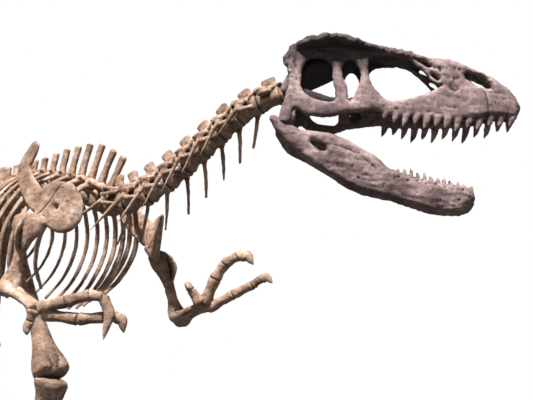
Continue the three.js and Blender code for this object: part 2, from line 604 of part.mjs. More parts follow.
// Hips and legs
for (const [name, leg] of Object.entries(LEGS)) {
  const { side } = leg;
  const middle = GAP / 2;
  add(mount, `ilium_${name}`, clear(ilium(side, 0), sacrum(GAP), thigh(leg, GAP)));
  add(mount, `pubis_${name}`,
    clear(pubis(side, 0), ilium(side, GAP), thigh(leg, GAP)).trimByPlane([0, side, 0], middle));
  add(mount, `ischium_${name}`,
    clear(ischium(side, 0), ilium(side, GAP), thigh(leg, GAP), pubis(side, GAP)).trimByPlane([0, side, 0], middle));
  add(mount, `thigh_${name}`, join(thigh(leg, 0)));
  add(mount, `shin_${name}`, clear(shin(leg, 0), thigh(leg, GAP)));
  add(mount, `fibula_${name}`, clear(fibula(leg, 0), shin(leg, GAP), thigh(leg, GAP)));
  add(mount, `instep_${name}`, clear(instep(leg, 0), shin(leg, GAP), fibula(leg, GAP)));
  for (const number of TOE_LENGTHS.keys()) {
    const parted = clear(toe(leg, number, 0), instep(leg, GAP), ...(number ? [toe(leg, number - 1, GAP)] : []));
    add(mount, `toe_${number + 2}_${name}`, parted.trimByPlane([0, 0, 1], BASE.thick + GAP));
  }
  add(mount, `toe_1_${name}`, clear(innerToe(leg, 0), instep(leg, GAP), toe(leg, 0, GAP)));
}

// Shoulders and arms
for (const [name, arm] of Object.entries(ARMS)) {
  const chest = [...back(arm.side, GAP), ...neck(0, NECK_SPLIT, GAP)];
  add(mount, `shoulder_${name}`, clear(shoulderBlade(arm, 0), chest));
  add(mount, `upper_arm_${name}`, clear(upperArm(arm, 0), shoulderBlade(arm, GAP), chest));
  const ulna = (grow) => forearm(arm, 40, 45, grow, 60);
  const radius = (grow) => forearm(arm, -40, 36, grow, 5);
  add(mount, `ulna_${name}`, clear(ulna(0), upperArm(arm, GAP)));
  add(mount, `radius_${name}`, clear(radius(0), upperArm(arm, GAP), ulna(GAP)));
  FINGERS[name].forEach(({ joints, radius: size, claw }, index) => {
    const finger = (grow, number) => {
      const other = FINGERS[name][number];
      return digit(other.joints, other.radius, other.claw, grow, Z);
    };
    const earlier = FINGERS[name].slice(0, index).map((_, number) => finger(2 * GAP, number));
    add(mount, `finger_${index + 1}_${name}`,
      clear(digit(joints, size, claw, 0, Z), ulna(GAP), radius(GAP), ...earlier));
  });
}

// Base
const slab = new THREE.BoxGeometry(BASE.length, BASE.width, BASE.thick);
slab.translate(BASE.x, BASE.y, BASE.thick / 2);
add(mount, 'stand_base', solid(slab), STAND_COLOR, 0.6);

export default mount;
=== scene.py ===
"""Dresses the mounted dinosaur skeleton: each bone gets a worn, pitted surface in the CAD model's frame."""

import bmesh
import bpy
import numpy as np
from mathutils import Matrix


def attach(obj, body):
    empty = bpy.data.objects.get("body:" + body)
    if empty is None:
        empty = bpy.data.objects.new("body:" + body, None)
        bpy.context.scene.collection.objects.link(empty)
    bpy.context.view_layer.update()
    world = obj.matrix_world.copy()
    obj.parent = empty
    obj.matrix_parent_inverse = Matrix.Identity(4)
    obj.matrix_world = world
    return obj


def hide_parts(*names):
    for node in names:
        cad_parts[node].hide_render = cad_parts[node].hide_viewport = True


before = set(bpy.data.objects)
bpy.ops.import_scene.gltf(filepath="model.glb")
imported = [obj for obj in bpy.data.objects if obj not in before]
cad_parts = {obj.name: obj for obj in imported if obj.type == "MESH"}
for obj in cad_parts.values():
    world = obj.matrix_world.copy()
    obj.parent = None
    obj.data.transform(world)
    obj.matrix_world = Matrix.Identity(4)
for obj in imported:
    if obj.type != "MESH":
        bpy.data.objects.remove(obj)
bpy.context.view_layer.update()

MM = 1000.0  # in a metre
SHIFT = np.array([-600.0, -20.0, 0.0])  # from the animal's own frame to the base's middle, mm
BOTH = LEFT, RIGHT = 1, -1
X, Z = np.eye(3)[[0, 2]]

# Backbone lines, mm
TAIL_LINE = [[-200, 0, 3385], [-1800, 10, 3270], [-3600, 90, 3165], [-5400, 260, 3190], [-6650, 420, 3300]]
SACRUM_LINE = [[-200, 0, 3385], [140, 0, 3398], [480, 0, 3405]]
BACK_LINE = [[480, 0, 3405], [900, 0, 3462], [1300, 0, 3488], [1700, 0, 3462], [2050, 0, 3400],
             [2400, 0, 3290]]
NECK_LINE = [[2400, 0, 3290], [2640, 70, 3340], [2870, 165, 3480], [3135, 243, 3699], [3456, 326, 3959],
             [3644, 380, 4055], [3784, 427, 4102]]
VERTEBRAE = {"neck": 9, "back": 12, "sacrum": 5, "tail": 34}
NECK_SPLIT = 5
TAIL_LENGTHS = [0, 8, 16, 25, 34]
SPINES_END, CHEVRONS_END, WINGS_END = 0.55, 0.5, 0.33  # how far along the tail each kind of process goes on
BACK_BETWEEN_HIPS, TAIL_BETWEEN_HIPS = 1, 2
# Heights of the spines on the back, from the front of the chest (0) to the hips (1)
BACK_SPINES = ([0, 0.2, 0.65, 1], [295, 328, 206, 262])
# How far the neck's ribs reach back and down, from the chest to the head, and their tips. The left ones hang
NECK_RIBS = {LEFT: dict(back=(160, 130), down=(282, 205), tip=(9, 11)),
             RIGHT: dict(back=(390, 220), down=(175, 120), tip=(4, 5))}

# Head
HEAD_PLACE = np.array([3810.0, 435.0, 4122.0])
HEAD_YAW, HEAD_NOD = np.radians(40.5), np.radians(2.0)
JAW_SKEW = 0.25

# Limbs
HIP = np.array([150.0, 250.0, 3110.0])
BASE_TOP = 100.0
LEGS = {
    "left": dict(side=LEFT, knee=[1075, 500, 1893], ankle=[620, 470, 793], foot=[820, 470, 217]),
    "right": dict(side=RIGHT, knee=[700, -430, 1705], ankle=[-60, -420, 805], foot=[40, -420, 217]),
}
ARMS = {
    "left": dict(side=LEFT, shoulder=[2440, 505, 2975], elbow=[2728, 560, 2490], wrist=[3090, 515, 2592],
                 front=[1, 0, 0], tuck=45),
    "right": dict(side=RIGHT, shoulder=[2200, -545, 3080], elbow=[2180, -600, 2540], wrist=[2592, -560, 2405],
                  front=[0.75, -0.66, 0], tuck=0),
}
FINGERS = {
    "right": [
        dict(joints=[[2590, -592, 2385], [2583, -604, 2315]],
             radius=45, claw=[[2572, -612, 2268], [2590, -612, 2214]]),
        dict(joints=[[2600, -556, 2412], [2746, -440, 2478], [2896, -345, 2540], [2985, -292, 2534]],
             radius=50, claw=[[3048, -262, 2422], [3034, -272, 2246]]),
        dict(joints=[[2604, -512, 2376], [2807, -362, 2366], [2940, -238, 2400], [2990, -200, 2418]],
             radius=50, claw=[[3046, -155, 2394], [3071, -138, 2309]]),
    ],
    "left": [
        dict(joints=[[3075, 478, 2608], [3034, 416, 2692]],
             radius=46, claw=[[3030, 384, 2722], [3062, 362, 2700]]),
        dict(joints=[[3085, 520, 2615], [3143, 539, 2797], [3214, 558, 2913], [3318, 586, 2976]],
             radius=50, claw=[[3400, 608, 2978], [3460, 624, 2915]]),
        dict(joints=[[3090, 562, 2582], [3293, 615, 2698], [3446, 655, 2772], [3500, 670, 2815]],
             radius=41, claw=[[3552, 684, 2834], [3605, 698, 2795]]),
    ],
}
TOE_LENGTHS = [[150, 130], [170, 150, 120], [140, 120, 100]]
TOE_SPREAD = [-20, 0, 20]
TOE_APART, TOE_RADIUS, TOE_HEIGHT = 98, 48, 38
DIGIT_TAPER = 0.76

# Fineness of curves and surfaces
CURVE_STEPS = 600
LEAST_RINGS, SPAN_RINGS = 9, 7
EDGE_STEPS = 6
PLATE_STEP = 8.0
DOME_RING, DOME_RISE = 0.72, 0.7  # the ring in an end's dome: shares of the end's width and the dome's height

# Relief of worn bone, as (depth, size) in mm. Fibres run along the head, so their noise is drawn out that way
WEAR = [(2.6, 75), (1.8, 28), (0.9, 12)]
FIBRES = [0.22, 1.0, 1.0]
SKULL_FIBRES = [(2.6, 32), (1.8, 18)]
JAW_FIBRES = [(3.0, 30), (2.0, 17)]
PIT_DEPTH, PIT_SIZE, PIT_PATCHES = 3.6, 24, 160
SEEDS = 997
NEAR_PASSES, WIDE_PASSES = 4, 16  # steps from point to point that make up a point's surroundings


def mix(a, b, share):
    """a at share 0, b at share 1, in a straight line between."""
    return a + (b - a) * share


def smoothstep(x, low, high):
    """0 below low, 1 above high and an S-shaped rise between. It falls where low is above high."""
    t = np.clip((np.asarray(x, float) - low) / (high - low), 0, 1)
    return t * t * (3 - 2 * t)


def unit(v):
    return v / np.maximum(np.linalg.norm(v, axis=-1, keepdims=True), 1e-9)


def spline(points, t):
    """A smooth curve through all points: on each span a cubic whose end slopes come from the neighbouring
    points, weighted by the square root of their distances. t runs from 0 to 1 with equal steps per span."""
    p = np.asarray(points, float)
    p = np.vstack([2 * p[:1] - p[1:2], p, 2 * p[-1:] - p[-2:-1]])
    s = np.asarray(t, float) * (len(p) - 3)
    i = np.clip(s.astype(int), 0, len(p) - 4)
    w = (s - i)[:, None]
    a, b, c, d = p[i], p[i + 1], p[i + 2], p[i + 3]
    step = [np.maximum(np.linalg.norm((v - u)[:, :3], axis=1, keepdims=True) ** 0.5, 1e-6)
            for u, v in ((a, b), (b, c), (c, d))]
    m1 = ((b - a) / step[0] - (c - a) / (step[0] + step[1]) + (c - b) / step[1]) * step[1]
    m2 = ((c - b) / step[1] - (d - b) / (step[1] + step[2]) + (d - c) / step[2]) * step[1]
    return b + m1 * w + (3 * (c - b) - 2 * m1 - m2) * w ** 2 + (2 * (b - c) + m1 + m2) * w ** 3


def by_length(points, shares):
    """Points and directions of the smooth curve at the given shares of its length, and that length."""
    q = spline(points, np.linspace(0, 1, CURVE_STEPS))
    far = np.concatenate([[0], np.cumsum(np.linalg.norm(np.diff(q, axis=0), axis=1))])
    shares = np.atleast_1d(shares)
    at = np.stack([np.interp(shares * far[-1], far, q[:, k]) for k in range(3)], 1)
    slope = np.gradient(q, axis=0)
    along = unit(np.stack([np.interp(shares * far[-1], far, slope[:, k]) for k in range(3)], 1))
    return at, along, far[-1]


def loft(stations, up=Z, sides=18, rings=0, at=None, square=2.0, dome=0.25):
    """A closed bone. Stations are (x, y, z, half width, half height). A ring is an oval, or a rounded box
    where square is above 2. Its height lies along up and its width across that. Rings ride on the smooth
    curve through the stations, and each end is closed by a dome."""
    s = np.asarray(stations, float)
    rings = rings or max(LEAST_RINGS, SPAN_RINGS * (len(s) - 1) + 1)
    t = np.linspace(0, 1, rings)
    path = spline(s[:, :3], t)
    k = t * (len(s) - 1)
    wide, tall = (np.interp(k, np.arange(len(s)), s[:, c]) for c in (3, 4))
    soft = np.array([0.25, 0.5, 0.25])
    for _ in range(2):
        wide[1:-1] = np.convolve(wide, soft, "valid")
        tall[1:-1] = np.convolve(tall, soft, "valid")
    along = unit(np.gradient(path, axis=0))
    height = unit(up - (along @ up)[:, None] * along)
    width = np.cross(height, along)
    a = np.linspace(0, 2 * np.pi, sides, endpoint=False)
    c = np.sign(np.cos(a)) * np.abs(np.cos(a)) ** (2 / square)
    d = np.sign(np.sin(a)) * np.abs(np.sin(a)) ** (2 / square)
    width, height = width * wide[:, None], height * tall[:, None]
    out = width[:, None] * c[None, :, None] + height[:, None] * d[None, :, None]
    bulge = dome * np.minimum(wide, tall)
    first = path[:1, None] + DOME_RING * out[:1] - (along[0] * bulge[0] * DOME_RISE)[None, None]
    last = path[-1:, None] + DOME_RING * out[-1:] + (along[-1] * bulge[-1] * DOME_RISE)[None, None]
    shell = np.concatenate([first, path[:, None] + out, last])
    rows = len(shell)
    grid = np.arange(rows * sides).reshape(rows, sides)
    turned = np.roll(grid, -1, 1)
    quads = np.stack([grid[:-1], turned[:-1], turned[1:], grid[1:]], -1).reshape(-1, 4)
    tips = np.stack([path[0] - along[0] * bulge[0], path[-1] + along[-1] * bulge[-1]])
    low, high = rows * sides, rows * sides + 1
    fan = np.concatenate([
        np.stack([turned[0], grid[0], np.full(sides, low)], -1),
        np.stack([grid[-1], turned[-1], np.full(sides, high)], -1)])
    points = np.concatenate([shell.reshape(-1, 3), tips])
    if at is not None:
        points = points @ at[:3, :3].T + at[:3, 3]
    return points, quads, fan


def inside(points, ring):
    """Whether each (u, v) lies inside a closed outline: a ray from it crosses an odd number of edges."""
    a, b = np.asarray(ring, float), np.roll(np.asarray(ring, float), -1, 0)
    u, v = points[:, :1], points[:, 1:]
    spans = (a[:, 1] > v) != (b[:, 1] > v)
    rise = np.where(b[:, 1] == a[:, 1], 1e-9, b[:, 1] - a[:, 1])
    return (spans & (u < a[:, 0] + (v - a[:, 1]) / rise * (b[:, 0] - a[:, 0]))).sum(1) % 2 == 1


def edge_distance(points, ring):
    """Distance from each (u, v) to the nearest edge of a closed outline."""
    a, b = np.asarray(ring, float), np.roll(np.asarray(ring, float), -1, 0)
    ab = b - a
    ap = points[:, None] - a[None]
    w = np.clip((ap * ab).sum(-1) / np.maximum((ab * ab).sum(-1), 1e-9), 0, 1)
    return np.linalg.norm(ap - w[..., None] * ab, axis=-1).min(1)


def rounded(ring):
    """The outline drawn again as a smooth closed curve through its corners."""
    p = np.asarray(ring, float)
    p = np.vstack([p[-2:], p, p[:2]])
    p = np.column_stack([p, np.zeros(len(p))])
    n = len(p) - 1
    t = np.linspace(2 / n, (n - 1) / n, EDGE_STEPS * len(ring), endpoint=False)
    return spline(p, t)[:, :2]


def plate(outline, holes, face, side, thick, bevel):
    """A flat bone with openings, on a grid of two parameters u and v: inside the outline and outside the
    holes it has two faces, whose distance grows from nothing at an edge to the full thickness over the bevel
    along a quarter circle. face(u, v) gives the outer face and a thickness factor."""
    rings = [rounded(outline)] + [rounded(h) for h in holes]
    low, high = rings[0].min(0) - PLATE_STEP, rings[0].max(0) + PLATE_STEP
    u, v = (np.arange(low[k], high[k] + PLATE_STEP, PLATE_STEP) for k in (0, 1))
    grid = np.stack(np.meshgrid(u, v, indexing="ij"), -1)
    flat = grid.reshape(-1, 2)
    solid = inside(flat, rings[0])
    depth = edge_distance(flat, rings[0])
    for hole in rings[1:]:
        solid &= ~inside(flat, hole)
        depth = np.minimum(depth, edge_distance(flat, hole))
    depth = np.where(solid, depth, 0)
    swell = np.sqrt(1 - (1 - np.clip(depth / bevel, 0, 1)) ** 2)
    outer, factor = face(flat[:, 0], flat[:, 1])
    inward = np.array([0.0, -side, 0.0])
    half = (thick * factor * swell)[:, None]
    middle = outer + inward * (thick * factor)[:, None]
    count = len(flat)
    ids = np.arange(count)
    front, back = (g.reshape(grid.shape[:2]) for g in (ids, np.where(solid, ids + count, ids)))
    keep = solid.reshape(grid.shape[:2])
    keep = keep[:-1, :-1] | keep[1:, :-1] | keep[:-1, 1:] | keep[1:, 1:]

    def corners(g):
        return np.stack([g[:-1, :-1], g[1:, :-1], g[1:, 1:], g[:-1, 1:]], -1)[keep]
    quads = np.concatenate([corners(front), corners(back)[:, ::-1]])
    points = np.concatenate([middle - inward * half, middle + inward * half])
    return points, quads[:, ::-1] if side == LEFT else quads, np.zeros((0, 3), int)


def hashed(i, seed):
    """A fixed value from -1 to 1 for each whole-number place."""
    h = (i[..., 0] * 73856093) ^ (i[..., 1] * 19349663) ^ (i[..., 2] * 83492791) ^ (seed * 2654435761)
    h = ((h ^ (h >> 13)) * 1274126177) & 0xFFFFFFFF
    h = ((h ^ (h >> 16)) * 2246822519) & 0xFFFFFFFF
    return (h ^ (h >> 13)) / 2147483647.5 - 1.0


def noise(points, size, seed):
    """Smooth noise: fixed values at the corners of cubes of the given size, blended between by S-curves."""
    q = points / size
    i = np.floor(q).astype(np.int64)
    f = q - i
    f = f * f * (3 - 2 * f)
    total = 0.0
    for corner in np.ndindex(2, 2, 2):
        c = np.array(corner)
        weight = np.prod(np.where(c, f, 1 - f), axis=1)
        total = total + weight * hashed(i + c, seed)
    return total


def relief(points, layers, seed):
    """The sum of several noises, each given by its depth and size in mm."""
    return sum(depth * noise(points, size, seed + k) for k, (depth, size) in enumerate(layers))


def frame_on(line, index, count):
    """The place of one vertebra on its line: X along the line, Z up, with the vertebra's length."""
    at, along, length = by_length(line, (index + 0.5) / count)
    across = unit(np.cross(Z, along[0]))
    m = np.eye(4)
    m[:3, :3] = np.stack([along[0], across, np.cross(along[0], across)], 1)
    m[:3, 3] = at[0]
    return m, length / count


def between(start, end, front):
    """The frame of a long bone: X from joint to joint, Z towards front."""
    start, end = np.asarray(start, float), np.asarray(end, float)
    x = unit(end - start)
    z = unit(front - (front @ x) * x)
    m = np.eye(4)
    m[:3, :3] = np.stack([x, np.cross(z, x), z], 1)
    m[:3, 3] = start
    return m, np.linalg.norm(end - start)


def sided(stations, side):
    """The same stations on the left or, mirrored, on the right."""
    s = np.array(stations, float)
    s[:, 1] *= side
    return s


HEAD = np.eye(4)
HEAD[:3, :3] = np.array(Matrix.Rotation(HEAD_YAW, 3, "Z") @ Matrix.Rotation(HEAD_NOD, 3, "Y"))
HEAD[:3, 3] = HEAD_PLACE


def spool(at, length, radius, waist, ball=0.0):
    """The body of a vertebra: a rim at each end, a waist between them and, on a neck, a ball in front."""
    h = length / 2 - 3
    front = h + ball * radius
    return loft([[-h, 0, 0, radius * 0.93, radius * 0.93], [-h * 0.86, 0, 0, radius * 1.03, radius * 1.03],
                 [-h * 0.45, 0, 2, radius * (waist + 0.06), radius * (waist + 0.08)],
                 [0, 0, 4, radius * waist, radius * (waist + 0.04)],
                 [h * 0.5, 0, 2, radius * (waist + 0.08), radius * (waist + 0.08)],
                 [h * 0.88, 0, 0, radius * 1.02, radius * 1.02], [front, 0, 0, radius * 0.84, radius * 0.84]],
                sides=22, at=at, dome=0.12, square=2.2)


def blade_spine(at, radius, tall, long, thick, lean):
    """The spine on a vertebra's back: a slab that thins upwards and swells again at its rough top."""
    slab = [[0, 0, radius * 0.5, thick * 2.0, long * 1.35],
            [0.02 * tall, 0, radius * 1.0, thick * 1.6, long * 1.15],
            [lean * tall * 0.5, 0, radius + tall * 0.5, thick * 0.95, long * 0.92],
            [lean * tall * 0.9, 0, radius + tall * 0.88, thick * 1.05, long],
            [lean * tall, 0, radius + tall * 0.985, thick * 1.15, long * 0.95]]
    return loft(slab, up=X, sides=16, at=at, square=2.8, dome=0.4)


def side_process(at, radius, side, reach, rise, sweep, long, thick):
    """A process to one side, ending in a rounded knob."""
    z = radius * 0.8
    arm = [[0, 0, radius * 0.7, long * 1.35, thick * 1.7],
           [sweep * 0.4, side * reach * 0.5, z + rise * 0.45, long * 0.95, thick],
           [sweep * 0.85, side * reach * 0.86, z + rise * 0.85, long * 0.72, thick * 0.85],
           [sweep, side * reach, z + rise, long * 0.78, thick * 1.05]]
    return loft(arm, sides=14, at=at, square=2.4)


def neck_vertebra(index):
    """A neck vertebra with its arch, spine, processes and ribs. The one at the head has no ribs."""
    at, length = frame_on(NECK_LINE, index, VERTEBRAE["neck"])
    last = VERTEBRAE["neck"] - 1
    share = index / last
    radius = mix(100, 74, share)
    reach = mix(165, 120, share)
    arch = [[-length * 0.42, 0, radius * 0.8, radius * 0.55, radius * 0.42],
            [0, 0, radius * 0.92, radius * 0.62, radius * 0.4],
            [length * 0.4, 0, radius * 0.78, radius * 0.55, radius * 0.4]]
    parts = [spool(at, length, radius, 0.76, 0.12), loft(arch, at=at, square=2.6),
             blade_spine(at, radius, mix(125, 84, share), mix(44, 60, share), 18, -0.1)]
    front_joint = [[length * 0.1, radius * 0.5, radius * 0.75, 24, 24],
                   [length * 0.46, radius * 0.66, radius * 0.86, 22, 17],
                   [length * 0.62, radius * 0.7, radius * 0.98, 19, 10]]
    rear_joint = [[-length * 0.1, radius * 0.42, radius * 0.95, 24, 26],
                  [-length * 0.42, radius * 0.58, radius * 1.2, 22, 18],
                  [-length * 0.6, radius * 0.62, radius * 1.22, 18, 10]]
    rib_root = [[length * 0.3, radius * 0.7, -radius * 0.35, 18, 20],
                [length * 0.12, radius * 1.05, -radius * 0.3, 15, 17], [-30, reach, -30, 14, 17]]
    for side in BOTH:
        parts.append(side_process(at, radius, side, reach, -45, -30, 44, 21))
        parts += [loft(sided(joint, side), at=at, sides=12) for joint in (front_joint, rear_joint)]
        if index == last:
            continue
        back, down = (mix(*NECK_RIBS[side][key], share) for key in ("back", "down"))
        out = radius * 1.75
        rib = [[0, reach * 0.84, 26, 17, 21],
               [-back * 0.14 - 14, mix(reach, out, 0.12), -down * 0.16, 16, 19],
               [-back * 0.5, mix(reach, out, 0.5), -down * 0.48, 12, 15],
               [-back, out, -down, *NECK_RIBS[side]["tip"]]]
        parts += [loft(sided(rib_root, side), at=at, sides=12), loft(sided(rib, side), at=at, sides=10)]
    return parts


def back_rib(index, side):
    """A rib: out from the vertebra on two heads, round the chest and in below, flat in section."""
    at, _ = frame_on(BACK_LINE, index, VERTEBRAE["back"])
    share = 1 - index / (VERTEBRAE["back"] - 1)
    swell = np.sin(np.pi * min(1, 0.22 + 0.72 * share))
    wide = mix(255, 520, swell)
    deep = mix(420, 985, swell) * (mix(1, 0.72, (share - 0.8) / 0.2) if share > 0.8 else 1)
    sweep = mix(60, 240, share)
    thick = mix(20, 15, share)
    head = [[12, 70, 8, thick * 0.9, thick], [4, 130, 45, thick * 0.7, thick * 0.9],
            [-12, 225, 62, thick * 0.8, thick * 1.2]]
    shaft = [[0, 140, 92, thick * 0.9, thick * 1.2], [-10, 215, 80, thick * 0.95, thick * 1.7],
             [-sweep * 0.2, wide * 0.78, -deep * 0.1, thick * 0.8, thick * 1.75],
             [-sweep * 0.5, wide, -deep * 0.42, thick * 0.66, thick * 1.85],
             [-sweep * 0.8, wide * 0.9, -deep * 0.76, thick * 0.6, thick * 1.7],
             [-sweep, wide * 0.62, -deep, thick * 0.62, thick * 1.3]]
    return [loft(sided(head, side), up=X, at=at, sides=12),
            loft(sided(shaft, side), up=X, at=at, sides=14, rings=44, square=2.3)]


def back_half(side):
    """One side of the rib cage with its half of the backbone."""
    parts = []
    for index in range(VERTEBRAE["back"]):
        at, length = frame_on(BACK_LINE, index, VERTEBRAE["back"])
        share = 1 - index / (VERTEBRAE["back"] - 1)
        tall = np.interp(share, *BACK_SPINES)
        covered = index < BACK_BETWEEN_HIPS
        radius = mix(93, 100, share)
        arch = [[-length * 0.4, 0, radius * 0.85, 46, 48], [0, 0, radius * 0.98, 50, 44],
                [length * 0.4, 0, radius * 0.85, 46, 46]]
        joint = [[length * 0.1, side * 36, radius * 1.05, 22, 20],
                 [length * 0.6, side * 44, radius * 1.1, 18, 9]]
        parts += [spool(at, length, radius, 0.74), loft(arch, at=at, square=2.6),
                  blade_spine(at, 96, tall, mix(40, 54, share), 18, mix(0.16, -0.06, share)),
                  side_process(at, 96, side, 125 if covered else 205, 45, -15, 42, 20),
                  loft(joint, at=at, sides=10)]
        if not covered:
            parts += back_rib(index, side)
    return parts


def sacrum():
    """The five fused vertebrae between the hips."""
    parts = []
    for index in range(VERTEBRAE["sacrum"]):
        at, length = frame_on(SACRUM_LINE, index, VERTEBRAE["sacrum"])
        parts += [spool(at, length + 16, 98, 0.83), blade_spine(at, 98, 285, 62, 17, -0.04)]
        parts += [side_process(at, 98, side, 196, -20, 0, 44, 42) for side in BOTH]
    return parts


def chevron(at, start, radius, drop):
    """The forked bone that hangs between two vertebrae of the tail."""
    prong = [[start - 8, radius * 0.35, -radius * 0.72, 9, 17],
             [start + drop * 0.14, 14, -radius - drop * 0.3, 10, 16]]
    stem = [[start + drop * 0.1, 0, -radius - drop * 0.26, 15, 19],
            [start + drop * 0.25, 0, -radius - drop * 0.6, 11, 20],
            [start + drop * 0.41, 0, -radius - drop * 0.97, 10, 25]]
    prongs = [loft(sided(prong, side), up=X, at=at, sides=10) for side in BOTH]
    return prongs + [loft(stem, up=X, at=at, sides=12)]


def tail_length(first, last):
    """Some vertebrae of the tail: spines, side processes and chevrons shrink to the rear and then end."""
    parts = []
    count = VERTEBRAE["tail"]
    for index in range(first, last):
        along = index / (count - 1)
        at, length = frame_on(TAIL_LINE, index, count)
        radius = mix(96, 15, ((index + 0.5) / count) ** 0.85)
        long = mix(40, 22, along)
        arch = [[-length * 0.36, 0, radius * 0.85, radius * 0.4, radius * 0.3],
                [length * 0.3, 0, radius * 0.85, radius * 0.4, radius * 0.3]]
        joint = [[-length * 0.2, radius * 0.3, radius * 0.95, radius * 0.18, radius * 0.2],
                 [-length * 0.62, radius * 0.36, radius * 1.1, radius * 0.14, radius * 0.12]]
        parts += [spool(at, length, radius, 0.7), loft(arch, at=at, sides=12)]
        parts += [loft(sided(joint, side), at=at, sides=10) for side in BOTH]
        if along < SPINES_END:
            parts.append(blade_spine(at, radius, mix(270, 40, along / SPINES_END), long, 13, 0.3))
        if along < WINGS_END:
            out = 120 if index < TAIL_BETWEEN_HIPS else mix(250, 80, along / WINGS_END)
            parts += [side_process(at, radius, side, out, -radius * 0.4, 50, long, 16) for side in BOTH]
        if 0 < index and along < CHEVRONS_END:
            parts += chevron(at, length / 2, radius, mix(310, 70, along / CHEVRONS_END))
    return parts


# Skull outlines in the head's frame, (x, z): X to the snout
SIDE_OUTLINE = [(12, 100), (-42, 176), (-16, 262), (70, 350), (216, 372), (314, 408), (372, 400),
                (526, 372), (735, 358), (982, 332), (1107, 332), (1190, 308), (1285, 280), (1368, 250),
                (1452, 207), (1537, 160), (1590, 100), (1606, 40), (1592, -8), (1556, -20), (1453, -22),
                (1322, -66), (1212, -93), (1068, -113), (955, -120), (842, -128), (729, -130), (671, -122),
                (615, -131), (527, -151), (439, -171), (364, -206), (286, -217), (182, -217), (118, -182),
                (92, -190), (88, -276), (8, -276), (2, -190), (20, -106), (30, 0)]
FRONT_OPENING = [(563, 263), (565, 157), (601, 64), (666, 1), (716, -33), (784, -25), (893, 17), (978, 68),
                 (1062, 135), (1015, 147), (913, 232), (826, 288), (754, 308), (674, 299)]
EYE_OPENING = [(466, 213), (505, 150), (514, 90), (504, 21), (482, -68), (468, -85), (454, -73), (437, 10),
               (415, 55), (390, 101), (378, 170), (398, 220), (432, 236)]
CHEEK_OPENING = [(109, 80), (131, -29), (186, -85), (270, -106), (345, -102), (370, -85), (361, -26),
                 (340, 30), (324, 79), (315, 150), (280, 200), (200, 218), (135, 190), (108, 130)]
NOSTRIL = [(1208, 236), (1252, 268), (1350, 230), (1404, 158), (1336, 160), (1240, 198)]
SNOUT_SLITS = [[(862, 318), (930, 296), (988, 258), (965, 256), (900, 284)],
               [(985, 222), (1030, 194), (1050, 168), (1020, 172), (984, 202)],
               [(1132, 126), (1152, 140), (1174, 124), (1154, 106)]]
UPPER_ROW, LOWER_ROW = (715, 1560), (850, 1350)  # where each row of teeth starts and stops
UPPER_LONGEST = {LEFT: 122, RIGHT: 92}
# How far out the skull's side stands at its lower edge and at the roof
SIDE_X = [-60, 0, 125, 240, 450, 600, 717, 893, 1000, 1100, 1320, 1520, 1580, 1612]
SIDE_LOW = [200, 205, 232, 240, 224, 202, 184, 152, 134, 120, 108, 84, 60, 36]
SIDE_HIGH = [172, 178, 164, 150, 146, 142, 132, 116, 110, 106, 100, 78, 56, 34]
JAW_OUTLINE = [(-66, -262), (-55, -236), (13, -251), (63, -274), (150, -314), (231, -316), (334, -319),
               (450, -338), (558, -380), (653, -418), (725, -453), (775, -492), (845, -510), (949, -534),
               (1063, -550), (1175, -549), (1263, -538), (1345, -550), (1378, -600), (1374, -655),
               (1345, -705), (1300, -735), (1232, -749), (1121, -762), (974, -740), (803, -710),
               (622, -692), (494, -653), (385, -600), (276, -546), (150, -468), (34, -386), (-47, -292)]
JAW_OPENING = [(252, -398), (306, -406), (352, -424), (350, -442), (316, -446), (276, -424)]
JAW_CRACK = [(400, -400), (480, -412), (560, -440), (640, -478), (700, -520)]
JAW_FURROW = [(330, -560), (480, -628), (640, -672), (820, -692), (980, -716), (1120, -736), (1250, -724)]
JAW_HOLES = [(860 + 62 * k, -556 - 14 * (k % 2)) for k in range(8)]
SNOUT_SEAM = [(1224, 214), (1290, 186), (1345, 140), (1380, 70), (1402, -40)]
# How far out the jaw stands, and the height below which it leans in
JAW_X = [-66, 35, 150, 276, 386, 494, 622, 803, 974, 1121, 1240, 1325, 1384]
JAW_OUT = [212, 226, 232, 228, 220, 208, 194, 172, 150, 130, 108, 76, 24]
JAW_MIDDLE = [-268, -322, -392, -432, -464, -503, -550, -605, -640, -659, -650, -643, -640]


def to_head(part):
    """A part of the head, carried from the head's frame to the animal's."""
    points, quads, fan = part
    return points @ HEAD[:3, :3].T + HEAD[:3, 3], quads, fan


def side_reach(u, v):
    """How far out the skull's side stands, leaning in from its lower edge to the roof."""
    low, high = np.interp(u, SIDE_X, SIDE_LOW), np.interp(u, SIDE_X, SIDE_HIGH)
    return mix(low, high, np.clip((v + 120) / 420, 0, 1))


def head_side(side):
    """One side of the skull. The left cheek bar is the thinner one."""
    cheek = [(x, z - 42 if side == LEFT and z < -60 else z) for x, z in CHEEK_OPENING]

    def face(u, v):
        out = side_reach(u, v) + 10 * np.sin(np.clip((v + 130) / 260, 0, 1) * np.pi)
        factor = np.interp(u, [0, 700, 1050, 1300, 1600], [1.0, 0.95, 1.1, 1.3, 0.8])
        return np.stack([u, side * out, v], -1), factor * mix(1.0, 0.75, smoothstep(v, 150, 300))
    return plate(SIDE_OUTLINE, [FRONT_OPENING, EYE_OPENING, cheek, NOSTRIL] + SNOUT_SLITS, face, side, 24, 34)


def tooth(root, tip, long, thick, hook):
    """A tooth: an oval blade that stays broad, then rounds off to its tip, on a path that bends back."""
    root, tip = np.asarray(root, float), np.asarray(tip, float)

    def bend(share, far):
        return mix(root, tip, share) + np.array([hook * far, 0, 0])
    blade = [[*root, thick, long], [*bend(0.3, 0.6), thick, long * 1.02],
             [*bend(0.6, 1.0), thick * 0.84, long * 0.84], [*bend(0.85, 0.6), thick * 0.5, long * 0.46],
             [*tip, thick * 0.16, long * 0.14]]
    return loft(blade, up=X, sides=12, rings=17, dome=0.3)


